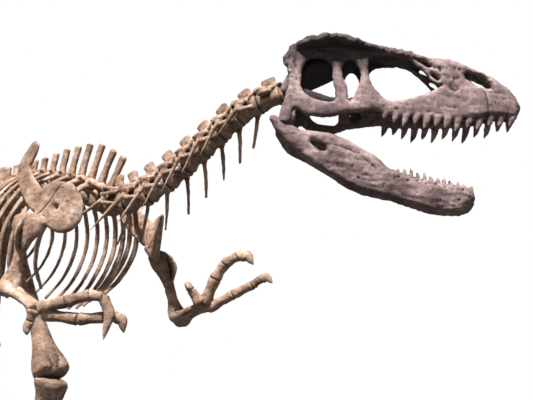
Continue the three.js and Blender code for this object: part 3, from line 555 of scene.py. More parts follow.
def tooth_row(count, start, stop, longest, wide, gum, direction, side, skew=0.0):
    """Teeth along a gum line: uneven, longest in the middle, leaning back."""
    parts = []
    for index in range(count):
        share = index / (count - 1)
        x = mix(start, stop, share)
        y, z = gum(x)
        z = z + skew * y
        uneven = (index * 7 + (3 if side > 0 else 0)) % 5 / 4
        long = longest * (0.5 + 0.5 * np.sin(np.pi * (0.15 + 0.7 * share))) * mix(0.62, 1, uneven)
        inner = side * (y - wide)
        root, tip = [x, inner, z - direction * longest * 0.35], [x - long * 0.22, inner, z + direction * long]
        parts.append(tooth(root, tip, wide * 1.24, wide * 0.74, long * 0.07))
    return parts


def upper_gum(x):
    """How far out the upper gum stands at x, and its height."""
    share = (x - UPPER_ROW[0]) / (UPPER_ROW[1] - UPPER_ROW[0])
    return mix(182, 72, share ** 1.15), mix(-128, -30, share ** 2.4)


def lower_gum(x):
    """The same for the lower gum."""
    share = (x - LOWER_ROW[0]) / (LOWER_ROW[1] - LOWER_ROW[0])
    return mix(136, 48, share ** 1.6), mix(-520, -560, min(1, share * 1.6))


def skull():
    """The whole skull but its lower jaw, in the animal's frame: sides, roof, snout, braincase and palate, and
    on each side the back wall, the bar inside the cheek, its strut, the jaw's joint and the teeth."""
    roof = [[-4, 0, 232, 150, 44], [74, 0, 302, 226, 48], [210, 0, 340, 252, 40], [320, 0, 370, 250, 40],
            [440, 0, 354, 216, 34], [600, 0, 338, 164, 26], [750, 0, 331, 134, 24], [920, 0, 316, 112, 22],
            [1110, 0, 304, 104, 26], [1240, 0, 276, 92, 18], [1340, 0, 242, 80, 17], [1440, 0, 198, 66, 20],
            [1520, 0, 150, 58, 26]]
    snout = [[1085, 0, 90, 104, 180], [1200, 0, 76, 98, 160], [1300, 0, 56, 94, 116], [1400, 0, 58, 90, 88],
             [1500, 0, 60, 78, 84], [1580, 0, 42, 54, 64], [1604, 0, 34, 26, 36]]
    braincase = [[-30, 0, 0, 44, 44], [20, 0, 40, 66, 72], [90, 0, 110, 96, 112], [220, 0, 185, 86, 104],
                 [360, 0, 250, 80, 84], [470, 0, 296, 70, 44]]
    palate = [[470, 0, -42, 120, 22], [640, 0, -34, 122, 18], [820, 0, -24, 116, 17], [1000, 0, -2, 100, 24],
              [1120, 0, 10, 84, 48]]
    wall = [[40, 20, 100, 40, 66], [28, 120, 112, 26, 52], [30, 200, 116, 22, 42]]
    bar = [[70, 150, -60, 20, 70], [150, 130, -60, 18, 60], [330, 116, -62, 14, 26], [500, 100, -48, 16, 24]]
    strut = [[470, 120, -50, 26, 26], [500, 180, -96, 26, 30], [510, 205, -110, 20, 34]]
    joint = [[56, 190, -110, 30, 34], [52, 196, -200, 32, 34],
             [48, 204, -262, 38, 46], [48, 206, -284, 32, 40]]
    parts = [head_side(LEFT), head_side(RIGHT), loft(roof, sides=28, rings=96, square=3.0),
             loft(snout, sides=24, square=2.6), loft(braincase, sides=20), loft(palate, sides=24, square=3.0)]
    for side in BOTH:
        parts += [loft(sided(wall, side), sides=14), loft(sided(bar, side), sides=14),
                  loft(sided(strut, side), up=X, sides=14), loft(sided(joint, side), up=X, sides=16)]
        parts += tooth_row(13, *UPPER_ROW, UPPER_LONGEST[side], 21, upper_gum, -1, side)
    return [to_head(p) for p in parts]


def lower_jaw(side):
    """Half of the lower jaw, hanging open. The left half is skewed up, as far as it stands out."""
    skew = JAW_SKEW if side == LEFT else 0.0

    def face(u, v):
        out = np.interp(u, JAW_X, JAW_OUT)
        lean = np.interp(u, [0, 300, 1300], [0.0, 0.16, 0.2])
        mid = np.interp(u, JAW_X, JAW_MIDDLE)
        y = out + lean * (v - mid) * (v < mid)
        lift = skew * out * smoothstep(u, 0, 300)
        factor = np.interp(u, [-60, 100, 400, 900, 1250, 1380], [0.8, 0.9, 0.95, 1.25, 1.3, 0.6])
        return np.stack([u, side * y, v + lift], -1), factor
    half = plate(JAW_OUTLINE, [JAW_OPENING], face, side, 36, 44)
    half[0][:, 1] = side * np.maximum(side * half[0][:, 1], 1.0)
    return [to_head(p) for p in [half] + tooth_row(12, *LOWER_ROW, 70, 14, lower_gum, 1, side, skew)]


# Shoulder blade and the plate before it, (x, z) from the shoulder joint
SHOULDER_OUTLINE = [(-244, 649), (-189, 604), (-246, 496), (-286, 452), (-210, 371), (-112, 298),
                    (-39, 252), (33, 295), (99, 305), (171, 307), (226, 291), (280, 212), (310, 131),
                    (310, 31), (287, -24), (256, -66), (200, -91), (108, -62), (41, -10), (-14, 36),
                    (-122, 78), (-248, 157), (-412, 270), (-503, 395), (-491, 527), (-334, 648)]
SHOULDER_HOLE = [(118, 106), (128, 122), (146, 118), (150, 104), (138, 92), (124, 94)]
SHOULDER_SEAM = [(173, 300), (121, 224), (87, 145), (39, 90), (-12, 48)]
SHOULDER_X = [-500, -392, -310, -180, -70, 30, 108, 200, 262, 314]
SHOULDER_OUT = [-88, -86, -74, -66, -80, -96, -122, -170, -214, -256]
SHOULDER_THICK = 22


def shoulder(arm):
    """Shoulder blade, bent to the ribs, and the rounded plate in front of it, in one."""
    (x, y, z), side, tuck = arm["shoulder"], arm["side"], arm["tuck"]

    def face(u, v):
        out = np.interp(u, SHOULDER_X, SHOULDER_OUT) - tuck * np.clip((-70 - u) / 110, 0, 1)
        factor = np.interp(v, [0, 150, 400, 650], [1.2, 1.1, 0.8, 0.55])
        return np.stack([x + u, y + side * (out + SHOULDER_THICK * factor), z + v], -1), factor
    socket = [[x - 60, y - side * 84, z + 60, 34, 40], [x + 10, y - side * 92, z + 20, 38, 44],
              [x + 90, y - side * 116, z - 16, 32, 36]]
    return [plate(SHOULDER_OUTLINE, [SHOULDER_HOLE], face, side, SHOULDER_THICK, 36), loft(socket, sides=18)]


def upper_arm(arm):
    """A shaft with a broad upper end, the crest before it and two knobs at the elbow."""
    at, n = between(arm["shoulder"], arm["elbow"], np.array(arm["front"], float))
    side = arm["side"]
    shaft = [[-34, 0, 0, 60, 32], [8, 0, 0, 118, 50], [n * 0.16, 0, 6, 118, 48], [n * 0.32, 0, 8, 70, 44],
             [n * 0.5, 0, 6, 41, 40], [n * 0.7, 0, 0, 41, 37], [n * 0.87, 0, 0, 78, 41],
             [n - 14, 0, 0, 86, 42]]
    crest = [[n * 0.07, side * 40, 18, 22, 40], [n * 0.28, side * 40, 70, 16, 48],
             [n * 0.46, side * 12, 26, 15, 30]]
    knobs = [[[n * 0.86, 38, 6, 30, 34], [n - 6, 46, 10, 40, 40]],
             [[n * 0.86, -38, 6, 30, 34], [n - 6, -44, 10, 38, 40]]]
    return [loft(shaft, at=at, sides=24, rings=60), loft(crest, at=at, sides=16),
            *(loft(knob, at=at, sides=14, dome=0.5) for knob in knobs)]


def forearm(arm, offset, thick, knob):
    """One of the forearm's two bones, set off from the arm's middle, with a knob behind the elbow."""
    side = arm["side"]
    a = np.array(arm["elbow"], float) + [0, side * offset, 0]
    b = np.array(arm["wrist"], float) + [0, side * offset * 0.7, 0]
    at, n = between(a, b, Z)
    return [loft([[-knob, 0, 0, thick * 1.15, thick * 1.05], [20, 0, 0, thick * 1.35, thick * 1.4],
                  [n * 0.3, 0, 6, thick * 0.78, thick * 0.8], [n * 0.7, 0, 6, thick * 0.72, thick * 0.7],
                  [n - 8, 0, 0, thick * 1.1, thick]], at=at, sides=18, dome=0.5)]


def digit(joints, radius, claw, up=Z):
    """A finger or toe: separate bones with a cup at the root and a two-knobbed end, then a hooked claw."""
    parts = []
    joints = [np.asarray(j, float) for j in joints]
    for i in range(len(joints) - 1):
        a, b = (radius * mix(1, DIGIT_TAPER, k / (len(joints) - 1)) for k in (i, i + 1))
        at, n = between(joints[i], joints[i + 1], up)
        shaft = [[0 if i == 0 else 8, 0, 0, a * 0.96, a * 1.0], [n * 0.16, 0, 0, a * 1.0, a * 1.02],
                 [n * 0.5, 0, 0, a * 0.78, a * 0.78], [n * 0.82, 0, 0, b * 0.96, b * 0.96],
                 [n - 4, 0, 0, b * 0.98, b * 1.02]]
        knob = [[n - b * 0.7, b * 0.42, 0, b * 0.4, b * 0.8], [n + b * 0.15, b * 0.46, 0, b * 0.42, b * 0.86]]
        parts.append(loft(shaft, at=at, sides=16, dome=0.3, square=2.3))
        parts += [loft(sided(knob, side), at=at, sides=12, dome=0.8) for side in BOTH]
    bend, tip = (np.asarray(c, float) for c in claw)
    root = joints[-1]
    size = radius * DIGIT_TAPER
    across = np.cross(bend - root, tip - bend)
    hook = [[*mix(root, bend, 0.06), size * 0.9, size * 1.1],
            [*mix(root, bend, 0.45), size * 0.84, size * 1.12],
            [*bend, radius * 0.56, radius * 0.82], [*mix(bend, tip, 0.6), radius * 0.34, radius * 0.5],
            [*tip, 3, 4]]
    parts.append(loft(hook, up=unit(np.cross(across, tip - root)), sides=16, rings=30, dome=0.2))
    return parts


def ilium(side):
    """The upper blade of the hip and the rim over its socket."""
    x = HIP[0]
    blade = [[-560, 178, 3425, 16, 116], [-380, 194, 3420, 20, 186], [-120, 208, 3395, 24, 214],
             [150, 217, 3370, 30, 238], [420, 208, 3410, 22, 194], [560, 192, 3430, 18, 146],
             [616, 186, 3420, 13, 92]]
    rim = [[x - 160, 228, 3190, 38, 88], [x, 232, 3160, 46, 116], [x + 160, 228, 3190, 38, 88]]
    return [loft(sided(blade, side), sides=30, rings=60, square=2.6), loft(sided(rim, side), sides=22)]


def pubis(side):
    """The front rod of the hip and the boot at its end."""
    x = HIP[0]
    rod = [[x + 60, 215, 3060, 40, 66], [x + 190, 180, 2880, 32, 48], [x + 380, 105, 2560, 27, 38],
           [x + 520, 62, 2260, 29, 41], [x + 560, 46, 2130, 37, 68]]
    boot = [[x + 330, 36, 2080, 29, 38], [x + 500, 42, 2085, 38, 64], [x + 690, 40, 2130, 28, 42]]
    return [loft(sided(rod, side), up=X, sides=20), loft(sided(boot, side), sides=18)]


def ischium(side):
    """The rear rod of the hip."""
    x = HIP[0]
    rod = [[x - 60, 215, 3060, 40, 66], [x - 230, 150, 2880, 25, 46], [x - 480, 80, 2560, 23, 33],
           [x - 690, 46, 2300, 27, 39], [x - 760, 40, 2225, 33, 50]]
    return [loft(sided(rod, side), up=X, sides=20)]


def thigh(leg):
    """A shaft with the head in the hip's socket, a crest and two knobs at the knee."""
    side = leg["side"]
    top = [HIP[0], side * (HIP[1] + 95), HIP[2] + 10]
    at, n = between(top, leg["knee"], X)
    shaft = [[-70, 0, 0, 64, 58], [40, 0, 0, 90, 82], [n * 0.2, 0, 16, 73, 77], [n * 0.45, 0, 24, 62, 67],
             [n * 0.7, 0, 14, 84, 78], [n * 0.86, 0, 4, 136, 98], [n - 80, 0, -4, 138, 94],
             [n - 40, 0, -8, 132, 80]]
    head = [[20, side * -10, 0, 64, 60], [4, side * -110, 0, 64, 64], [4, side * -158, 0, 56, 56]]
    crest = [[n * 0.04, side * 40, 20, 30, 40], [n * 0.1, side * 46, 66, 26, 30],
             [n * 0.17, side * 30, 60, 18, 24]]
    parts = [loft(shaft, at=at, sides=28, rings=60, square=2.2),
             loft(head, up=X, at=at, sides=20, dome=0.5), loft(crest, at=at, sides=14)]
    for y in (-90, 90):
        knob = [[n - 400, y * 0.4, 8, 50, 60], [n - 160, y * 0.92, 6, 76, 104], [n - 62, y, 8, 80, 116]]
        parts.append(loft(knob, at=at, sides=20, dome=0.5))
    return parts


def shin(leg):
    """A shaft, broad at both ends, with a crest below the knee."""
    at, n = between(leg["knee"], leg["ankle"], X)
    shaft = [[24, 0, -10, 156, 120], [64, 0, 0, 148, 130], [n * 0.13, 0, 14, 106, 106],
             [n * 0.24, 0, 14, 74, 76], [n * 0.5, 0, 8, 56, 56], [n * 0.78, 0, 0, 62, 55],
             [n * 0.92, 0, 0, 104, 58], [n - 12, 0, 0, 110, 62]]
    crest = [[36, 0, 70, 40, 60], [n * 0.1, 0, 96, 26, 40], [n * 0.2, 0, 60, 18, 30]]
    return [loft(shaft, at=at, sides=26, rings=60, square=2.2), loft(crest, at=at, sides=16)]


def fibula(leg):
    """The thin bone outside the shin."""
    side = leg["side"]
    shift = np.array([-10, side * 148, 0])
    at, n = between(leg["knee"] + shift, leg["ankle"] + shift, X)
    rod = [[50, 0, -10, 23, 64], [n * 0.15, 0, 0, 21, 50], [n * 0.4, side * -42, 0, 17, 26],
           [n * 0.75, side * -54, 0, 14, 18], [n * 0.93, side * -32, 0, 16, 23]]
    return [loft(rod, at=at, sides=16)]


def instep(leg):
    """The ankle and the three long bones of the foot, side by side."""
    at, n = between(leg["ankle"], leg["foot"], X)
    parts = [loft([[22, 0, 0, 104, 62], [70, 0, 0, 100, 60]], at=at, sides=22, square=2.6)]
    for k in (-1, 0, 1):
        bone = [[40, k * 62, 0, 41, 50], [n * 0.3, k * 64, 6, 33, 38], [n * 0.6, k * 74, 6, 33, 36],
                [n * 0.86, k * 94, 0, 42, 42], [n - 10, k * TOE_APART, 0, 44, 45]]
        parts.append(loft(bone, at=at, sides=18, dome=0.4))
    return parts


def toe(leg, number):
    """The joints, size and claw of one of the three toes that stand on the base."""
    side, foot = leg["side"], np.asarray(leg["foot"], float)
    turn = np.radians(TOE_SPREAD[number]) * side
    heading = np.array([np.cos(turn), np.sin(turn), 0])

    def ahead(start, far, height):
        return (start + heading * far) * [1, 1, 0] + [0, 0, BASE_TOP + height]
    joints = [foot + [0, side * (number - 1) * TOE_APART, -20]]
    for length in TOE_LENGTHS[number]:
        joints.append(ahead(joints[-1], length, TOE_HEIGHT))
    return dict(joints=joints, radius=TOE_RADIUS, claw=[ahead(joints[-1], 85, 44), ahead(joints[-1], 168, 6)])


def inner_toe(leg):
    """The small toe on the inside of the foot, which doesn't reach the base."""
    side, (x, y, z) = leg["side"], leg["foot"]
    joints = [[mix(x, leg["ankle"][0], 0.25) - 40, y - side * 128, z + 120], [x - 20, y - side * 160, z + 10]]
    return digit(joints, 30, [[x + 10, y - side * 172, z - 24], [x + 60, y - side * 180, z - 90]], up=X)


def joined(parts):
    """All the closed surfaces of a bone in one list of points and faces."""
    points, quads, fans, start = [], [], [], 0
    for p, q, f in parts:
        points.append(p)
        quads.append(q + start)
        fans.append(f + start)
        start += len(p)
    return np.concatenate(points), np.concatenate(quads), np.concatenate(fans)


def mesh_of(name, points, quads, fans):
    """A mesh from whole arrays of points, four-sided and three-sided faces."""
    mesh = bpy.data.meshes.new(name)
    mesh.vertices.add(len(points))
    mesh.vertices.foreach_set("co", np.asarray(points, np.float32).ravel())
    loops = np.concatenate([quads.ravel(), fans.ravel()])
    sizes = np.concatenate([np.full(len(quads), 4), np.full(len(fans), 3)])
    mesh.loops.add(len(loops))
    mesh.loops.foreach_set("vertex_index", loops.astype(np.int32))
    mesh.polygons.add(len(sizes))
    mesh.polygons.foreach_set("loop_start", (np.cumsum(sizes) - sizes).astype(np.int32))
    mesh.update(calc_edges=True)
    mesh.validate()
    return mesh


def read(source, key, kind, columns):
    """One property of all a mesh's points or edges, as an array of rows."""
    values = np.empty(len(source) * columns, kind)
    source.foreach_get(key, values)
    return values.reshape(-1, columns)


def keep_largest(mesh):
    """Deletes the crumbs apart from a mesh's largest surface. Each point starts with its own number, an edge
    gives the lower number of its ends to the other, and chains of numbers are cut short, until all agree."""
    first, second = read(mesh.edges, "vertices", np.int32, 2).T
    number = np.arange(len(mesh.vertices))
    while (number[first] != number[second]).any():
        a, b = number[first], number[second]
        np.minimum.at(number, np.maximum(a, b), np.minimum(a, b))
        while (number[number] != number).any():
            number = number[number]
    crumbs = np.flatnonzero(number != np.bincount(number).argmax())
    if len(crumbs):
        work = bmesh.new()
        work.from_mesh(mesh)
        work.verts.ensure_lookup_table()
        bmesh.ops.delete(work, geom=[work.verts[i] for i in crumbs], context="VERTS")
        work.to_mesh(mesh)
        work.free()


def fused(name, parts, grain, soften):
    """The bone's surfaces grown into one skin of even, small faces, then softened."""
    points, quads, fans = joined(parts)
    mesh = mesh_of(name, (points + SHIFT) / MM, quads, fans)
    piece = bpy.data.objects.new(name, mesh)
    bpy.context.collection.objects.link(piece)
    remesh = piece.modifiers.new("skin", "REMESH")
    remesh.mode = "VOXEL"
    remesh.voxel_size = grain / MM
    smooth = piece.modifiers.new("soften", "SMOOTH")
    smooth.factor = 0.5
    smooth.iterations = soften
    whole = bpy.data.meshes.new_from_object(piece.evaluated_get(bpy.context.evaluated_depsgraph_get()))
    piece.modifiers.clear()
    piece.data = whole
    bpy.data.meshes.remove(mesh)
    whole.name = name
    keep_largest(whole)
    return piece


def neighbours_mean(values, edges, count):
    """For each point the mean of the values at the points that an edge joins it to."""
    degree = np.bincount(edges.ravel(), minlength=count).astype(float)
    a, b = edges.T
    total = np.stack([np.bincount(a, column[b], count) + np.bincount(b, column[a], count)
                      for column in values.T], 1)
    return total / np.maximum(degree, 1)[:, None]


def groove(points, line, width):
    """1 on a drawn line and 0 away from it, along a bell curve of the given width."""
    path = spline(np.column_stack([line, np.zeros(len(line))]), np.linspace(0, 1, 8 * len(line)))[:, :2]
    return np.exp(-(edge_distance(points, np.vstack([path, path[::-1]])) / width) ** 2)


def skull_marks(head, mm, seed):
    """Rough crust on the brow and the back of the head, the seam behind the nostril, fibres, and painted
    shade inside the head, on the upper sides below the brow and in patches on the crust. Returns the move
    along the normal in mm and the painted shade from 0 to 1."""
    x, y, z = head.T
    crust = smoothstep(z, 280, 340) * smoothstep(x, 1120, 800)
    crust = np.maximum(crust, smoothstep(x, 80, 10) * smoothstep(z, 110, 190))
    move = crust * (13.0 * noise(mm, 44, seed + 5) + 9.0 * np.abs(noise(mm, 20, seed + 6)) - 4.0)
    move += smoothstep(x, 700, 1100) * smoothstep(z, 180, 260) * 5.0 * noise(mm, 42, seed + 7)
    move -= 7.0 * groove(np.stack([x, z], 1), SNOUT_SEAM, 6.0)
    move += relief(head * FIBRES, SKULL_FIBRES, seed + 9) * smoothstep(z, -135, -105)
    # Painted shade: dark inside the head, where its sides and roof shade it.
    inner = 0.85 * smoothstep(side_reach(x, z) - np.abs(y), 32, 60) * smoothstep(z, 332, 306)
    inner = inner * smoothstep(x, 1180, 1060) * smoothstep(x, 10, 90)
    # Painted shadow of the brow's overhang on the upper sides of the head.
    brow = 0.62 * smoothstep(z, 40, 240) * smoothstep(x, 860, 540)
    # Painted shade in patches on the rough crust of the roof's edge, which faces away from the light.
    crust_painted_shade = 0.55 * crust * smoothstep(noise(mm, 60, seed + 8), -0.6, 0.3)
    return move, np.maximum(inner, np.maximum(brow, crust_painted_shade))


def jaw_marks(head, mm, seed):
    """The crack between the jaw's bones, the furrow along its lower edge, the row of small holes below the
    teeth, fibres, and painted shade along the furrow and round its opening."""
    side = np.stack([head[:, 0], head[:, 2]], 1)
    move = -2.6 * groove(side, JAW_CRACK, 4.5) - 4.0 * groove(side, JAW_FURROW, 9.0)
    move += relief(head * FIBRES, JAW_FIBRES, seed + 9)
    for x, z in JAW_HOLES:
        move -= 9.0 * np.exp(-((side - [x, z]) ** 2).sum(1) / 90.0)
    # Painted shade round the opening, for the dark seen through it, and along the furrow.
    rim = groove(side, JAW_OPENING + JAW_OPENING[:1], 10.0)
    return move, np.maximum(0.35 * groove(side, JAW_FURROW, 16.0), 0.7 * rim)


def shoulder_marks(arm):
    """The seam where the blade meets the plate before it, cut in and with painted shade in its groove."""
    def marks(mm, seed):
        line = groove((mm - SHIFT - arm["shoulder"])[:, [0, 2]], SHOULDER_SEAM, 8.0)
        # The second value is painted shade along the seam.
        return -5.0 * line, 0.5 * line
    return marks


def joint_marks(places, alongs, width, reach):
    """The clefts at joints: at each place a groove across the bone's direction, as far out as reach, with
    painted shade in it.
    """
    def marks(mm, seed):
        cleft = np.zeros(len(mm))
        for here, along in zip(places, alongs):
            off = mm - SHIFT - here
            far = np.linalg.norm(off, axis=1)
            near = np.exp(-(off @ along / width) ** 2) * smoothstep(far, reach * 1.15, reach)
            cleft = np.maximum(cleft, near)
        # The second value is painted shade in the cleft.
        return -0.7 * width * cleft, 0.55 * cleft
    return marks


def digit_marks(joints):
    """The clefts between the bones of a finger or toe."""
    j = np.asarray(joints, float)
    along = unit(np.diff(j, axis=0))
    return joint_marks(j[1:] + 3 * along, along, 6.0, 75.0)


def line_marks(line, count, radius):
    """The clefts between the vertebrae of a line."""
    at, along, _ = by_length(line, np.arange(0, count + 1) / count)
    return joint_marks(at, along, 9.0, radius)


def on_head(marks):
    """The marks of a bone of the head, given in the head's own frame."""
    def placed(mm, seed):
        return marks((mm - SHIFT - HEAD_PLACE) @ HEAD[:3, :3], mm, seed)
    return placed


def worn(piece, seed, rough, marks):
    """Weathers a bone: each point moves along its normal by noise of several sizes, with pits where the noise
    peaks, and by the bone's own marks. One attribute holds how far a point lies below its surroundings, from
    -1 on ridges to 1 in clefts, raised to the painted shade that the marks give; the other holds how far its
    surface faces down, for painted shade on undersides."""
    mesh = piece.data
    count = len(mesh.vertices)
    co = read(mesh.vertices, "co", np.float32, 3).astype(float)
    normal = read(mesh.vertices, "normal", np.float32, 3)
    edges = read(mesh.edges, "vertices", np.int32, 2)
    mm = co * MM
    move = relief(mm, WEAR, seed)
    pitted = smoothstep(noise(mm, PIT_PATCHES, seed + 4), -0.2, 0.4)
    move -= PIT_DEPTH * smoothstep(noise(mm, PIT_SIZE, seed + 3), 0.4, 0.8) * pitted
    move *= rough
    painted_shade = np.zeros(count)
    if marks:
        extra, painted_shade = marks(mm, seed)
        move = move + extra
    co += normal * (move / MM)[:, None]
    mesh.vertices.foreach_set("co", co.astype(np.float32).ravel())
    mesh.update()
    normal = read(mesh.vertices, "normal", np.float32, 3)
    near = co
    for _ in range(NEAR_PASSES):
        near = neighbours_mean(near, edges, count)
    wide = near
    for _ in range(WIDE_PASSES):
        wide = neighbours_mean(wide, edges, count)
    fine, broad = (((mean - co) * normal).sum(1) * MM for mean in (near, wide))
    # Depth below the surroundings, later painted dark as shade in clefts, or the marks' painted shade where
    # that is more.
    hollow_and_painted_shade = np.clip(np.maximum(0.35 * fine + 0.09 * broad, painted_shade), -1, 1)
    # How far the surface faces down, which the material darkens as painted shade.
    painted_underside_shade = smoothstep(-normal[:, 2], -0.1, 0.9)
    for name, values in (("hollow_and_painted_shade", hollow_and_painted_shade), ("painted_underside_shade", painted_underside_shade)):
        mesh.attributes.new(name, "FLOAT", "POINT").data.foreach_set("value", values.astype(np.float32))
    mesh.shade_smooth()


UNDERSIDE_SHADE_TINT = (0.42, 0.38, 0.36)  # painted shade: the tint multiplied into surfaces that face down


class Finish:
    """A material whose colour is worked out from Object coordinates and the attributes of its piece."""

    def __init__(self, name):
        self.material = bpy.data.materials.new(name)
        self.material.use_nodes = True
        self.nodes, self.links = self.material.node_tree.nodes, self.material.node_tree.links
        self.shader = self.nodes["Principled BSDF"]
        self.place = self.nodes.new("ShaderNodeTexCoord").outputs["Object"]

    def set(self, socket, value):
        """Links an output to a socket, or gives the socket a plain number or colour."""
        if isinstance(value, bpy.types.NodeSocket):
            self.links.new(value, socket)
        else:
            socket.default_value = value

    def texture(self, kind, place=None, **values):
        """A texture node, on the piece's own place unless another is given."""
        node = self.nodes.new("ShaderNodeTex" + kind)
        self.set(node.inputs["Vector"], self.place if place is None else place)
        for key, value in values.items():
            node.inputs[key].default_value = value
        return node

    def noise(self, place=None, **values):
        return self.texture("Noise", place, **values).outputs["Fac"]

    def attribute(self, name):
        node = self.nodes.new("ShaderNodeAttribute")
        node.attribute_name = name
        return node.outputs["Fac"]

    def ramp(self, source, *stops):
        """Colours between the stops, each a value of the source and its colour."""
        node = self.nodes.new("ShaderNodeValToRGB")
        while len(node.color_ramp.elements) < len(stops):
            node.color_ramp.elements.new(0.5)
        for element, (at, colour) in zip(node.color_ramp.elements, stops):
            element.position = at
            element.color = (*colour, 1.0)
        self.set(node.inputs["Fac"], source)
        return node.outputs["Color"]

    def blend(self, kind, a, b, share):
        """Colour b laid over colour a, as strongly as share says."""
        node = self.nodes.new("ShaderNodeMix")
        node.data_type = "RGBA"
        node.blend_type = kind
        factor, first, second = node.inputs[0], node.inputs[6], node.inputs[7]
        self.set(factor, share)
        for socket, value in ((first, a), (second, b)):
            self.set(socket, (*value, 1.0) if isinstance(value, tuple) else value)
        return node.outputs[2]

    def scaled(self, source, low, high, at=0.0, to=1.0):
        """The source's range from low to high, carried to the range from at to to."""
        node = self.nodes.new("ShaderNodeMapRange")
        for key, value in (("From Min", low), ("From Max", high), ("To Min", at), ("To Max", to)):
            node.inputs[key].default_value = value
        self.set(node.inputs["Value"], source)
        return node.outputs["Result"]

    def maths(self, operation, a, b):
        node = self.nodes.new("ShaderNodeMath")
        node.operation = operation
        self.set(node.inputs[0], a)
        self.set(node.inputs[1], b)
        return node.outputs["Value"]


def bone_finish(name, pale, mid, dark, cleft, speck, turn):
    """Fossil bone: large soft patches between three browns, grain, streaks along the turned X, painted shade
    in clefts and dips, ridges rubbed pale, painted shade on undersides, fine broken cracks and specks, and
    pits in the bump."""
    f = Finish(name)
    grey = np.ones(3)
    colour = f.ramp(f.noise(Scale=5.5, Detail=8.0, Roughness=0.62), (0.34, dark), (0.5, mid), (0.66, pale))
    grain = f.noise(Scale=60.0, Detail=6.0, Roughness=0.7)
    colour = f.blend("OVERLAY", colour, f.ramp(grain, (0.3, 0.3 * grey), (0.7, 0.7 * grey)), 0.45)
    lengthwise = f.nodes.new("ShaderNodeMapping")
    lengthwise.inputs["Rotation"].default_value = (0.0, 0.0, -turn)
    lengthwise.inputs["Scale"].default_value = (0.16, 1.0, 1.0)
    f.set(lengthwise.inputs["Vector"], f.place)
    streaks = f.noise(lengthwise.outputs["Vector"], Scale=42.0, Detail=5.0, Roughness=0.6)
    colour = f.blend("OVERLAY", colour, f.ramp(streaks, (0.32, 0.18 * grey), (0.68, 0.78 * grey)), 0.58)
    hollow_and_painted_shade = f.attribute("hollow_and_painted_shade")
    # Painted shade: the cleft colour laid into clefts and dips and over the marks' painted shade.
    colour = f.blend("MIX", colour, cleft, f.scaled(hollow_and_painted_shade, 0.06, 0.75, 0.0, 0.92))
    colour = f.blend("MIX", colour, pale, f.scaled(hollow_and_painted_shade, -0.1, -0.6, 0.0, 0.5))
    # Painted shade on surfaces that face down.
    colour = f.blend("MULTIPLY", colour, UNDERSIDE_SHADE_TINT, f.attribute("painted_underside_shade"))
    warp = f.nodes.new("ShaderNodeVectorMath")
    warp.operation = "MULTIPLY_ADD"
    warped = (f.texture("Noise", Scale=14.0, Detail=4.0).outputs["Color"], (0.09, 0.09, 0.09), f.place)
    for socket, value in zip(warp.inputs, warped):
        f.set(socket, value)
    cells = f.texture("Voronoi", warp.outputs["Vector"], Scale=9.0)
    cells.feature = "DISTANCE_TO_EDGE"
    line = f.scaled(cells.outputs["Distance"], 0.0, 0.012, 1.0, 0.0)
    cracks = f.maths("MULTIPLY", line, f.scaled(f.noise(Scale=3.0, Detail=2.0), 0.5, 0.62))
    colour = f.blend("MIX", colour, cleft, f.scaled(cracks, 0.0, 1.0, 0.0, 0.75))
    specks = f.noise(Scale=130.0, Detail=2.0)
    colour = f.blend("MIX", colour, speck, f.scaled(specks, 0.64, 0.72, 0.0, 0.55))
    f.set(f.shader.inputs["Base Color"], colour)
    f.set(f.shader.inputs["Roughness"], f.scaled(grain, 0.3, 0.7, 0.62, 0.9))
    bump = f.nodes.new("ShaderNodeBump")
    bump.inputs["Strength"].default_value = 0.7
    bump.inputs["Distance"].default_value = 0.008
    pits = f.noise(Scale=210.0, Detail=5.0, Roughness=0.65)
    f.set(bump.inputs["Height"], f.maths("SUBTRACT", pits, cracks))
    f.set(f.shader.inputs["Normal"], bump.outputs["Normal"])
    return f.material


# cleft is the near-black of the painted shade in clefts, also used for the fine cracks.
HEAD_BONE = bone_finish("skull_bone", pale=(0.42, 0.312, 0.308), mid=(0.262, 0.183, 0.186),
                        dark=(0.115, 0.077, 0.084), cleft=(0.010, 0.007, 0.012), speck=(0.042, 0.028, 0.033),
                        turn=HEAD_YAW)
BODY_BONE = bone_finish("body_bone", pale=(0.60, 0.45, 0.36), mid=(0.40, 0.265, 0.195),
                        dark=(0.20, 0.12, 0.085), cleft=(0.020, 0.012, 0.009), speck=(0.07, 0.045, 0.03),
                        turn=0.0)


def stand_finish():
    """Dark satin paint with a faint cloud of dust and rubbing."""
    f = Finish("stand_paint")
    cloud = f.noise(Scale=3.0, Detail=8.0)
    colour = f.ramp(cloud, (0.0, (0.045, 0.043, 0.040)), (1.0, (0.085, 0.080, 0.074)))
    f.set(f.shader.inputs["Base Color"], colour)
    f.set(f.shader.inputs["Roughness"], f.scaled(cloud, 0.0, 1.0, 0.45, 0.7))
    return f.material


def dress(node, parts, grain, soften=4, rough=1.0, slot="bone", marks=None):
    """Makes the finished bone for one CAD node: grain is the size of its faces in mm, soften how often they
    are smoothed and rough how deep it is worn. The node's name gives the seed of its wear."""
    piece = fused("bone_" + node, parts, grain, soften)
    worn(piece, sum(map(ord, node)) % SEEDS, rough, marks)
    piece.data.materials.clear()
    piece.data.materials.append(HEAD_BONE if slot == "skull_bone" else BODY_BONE)
    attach(piece, "root")
    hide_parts(node)


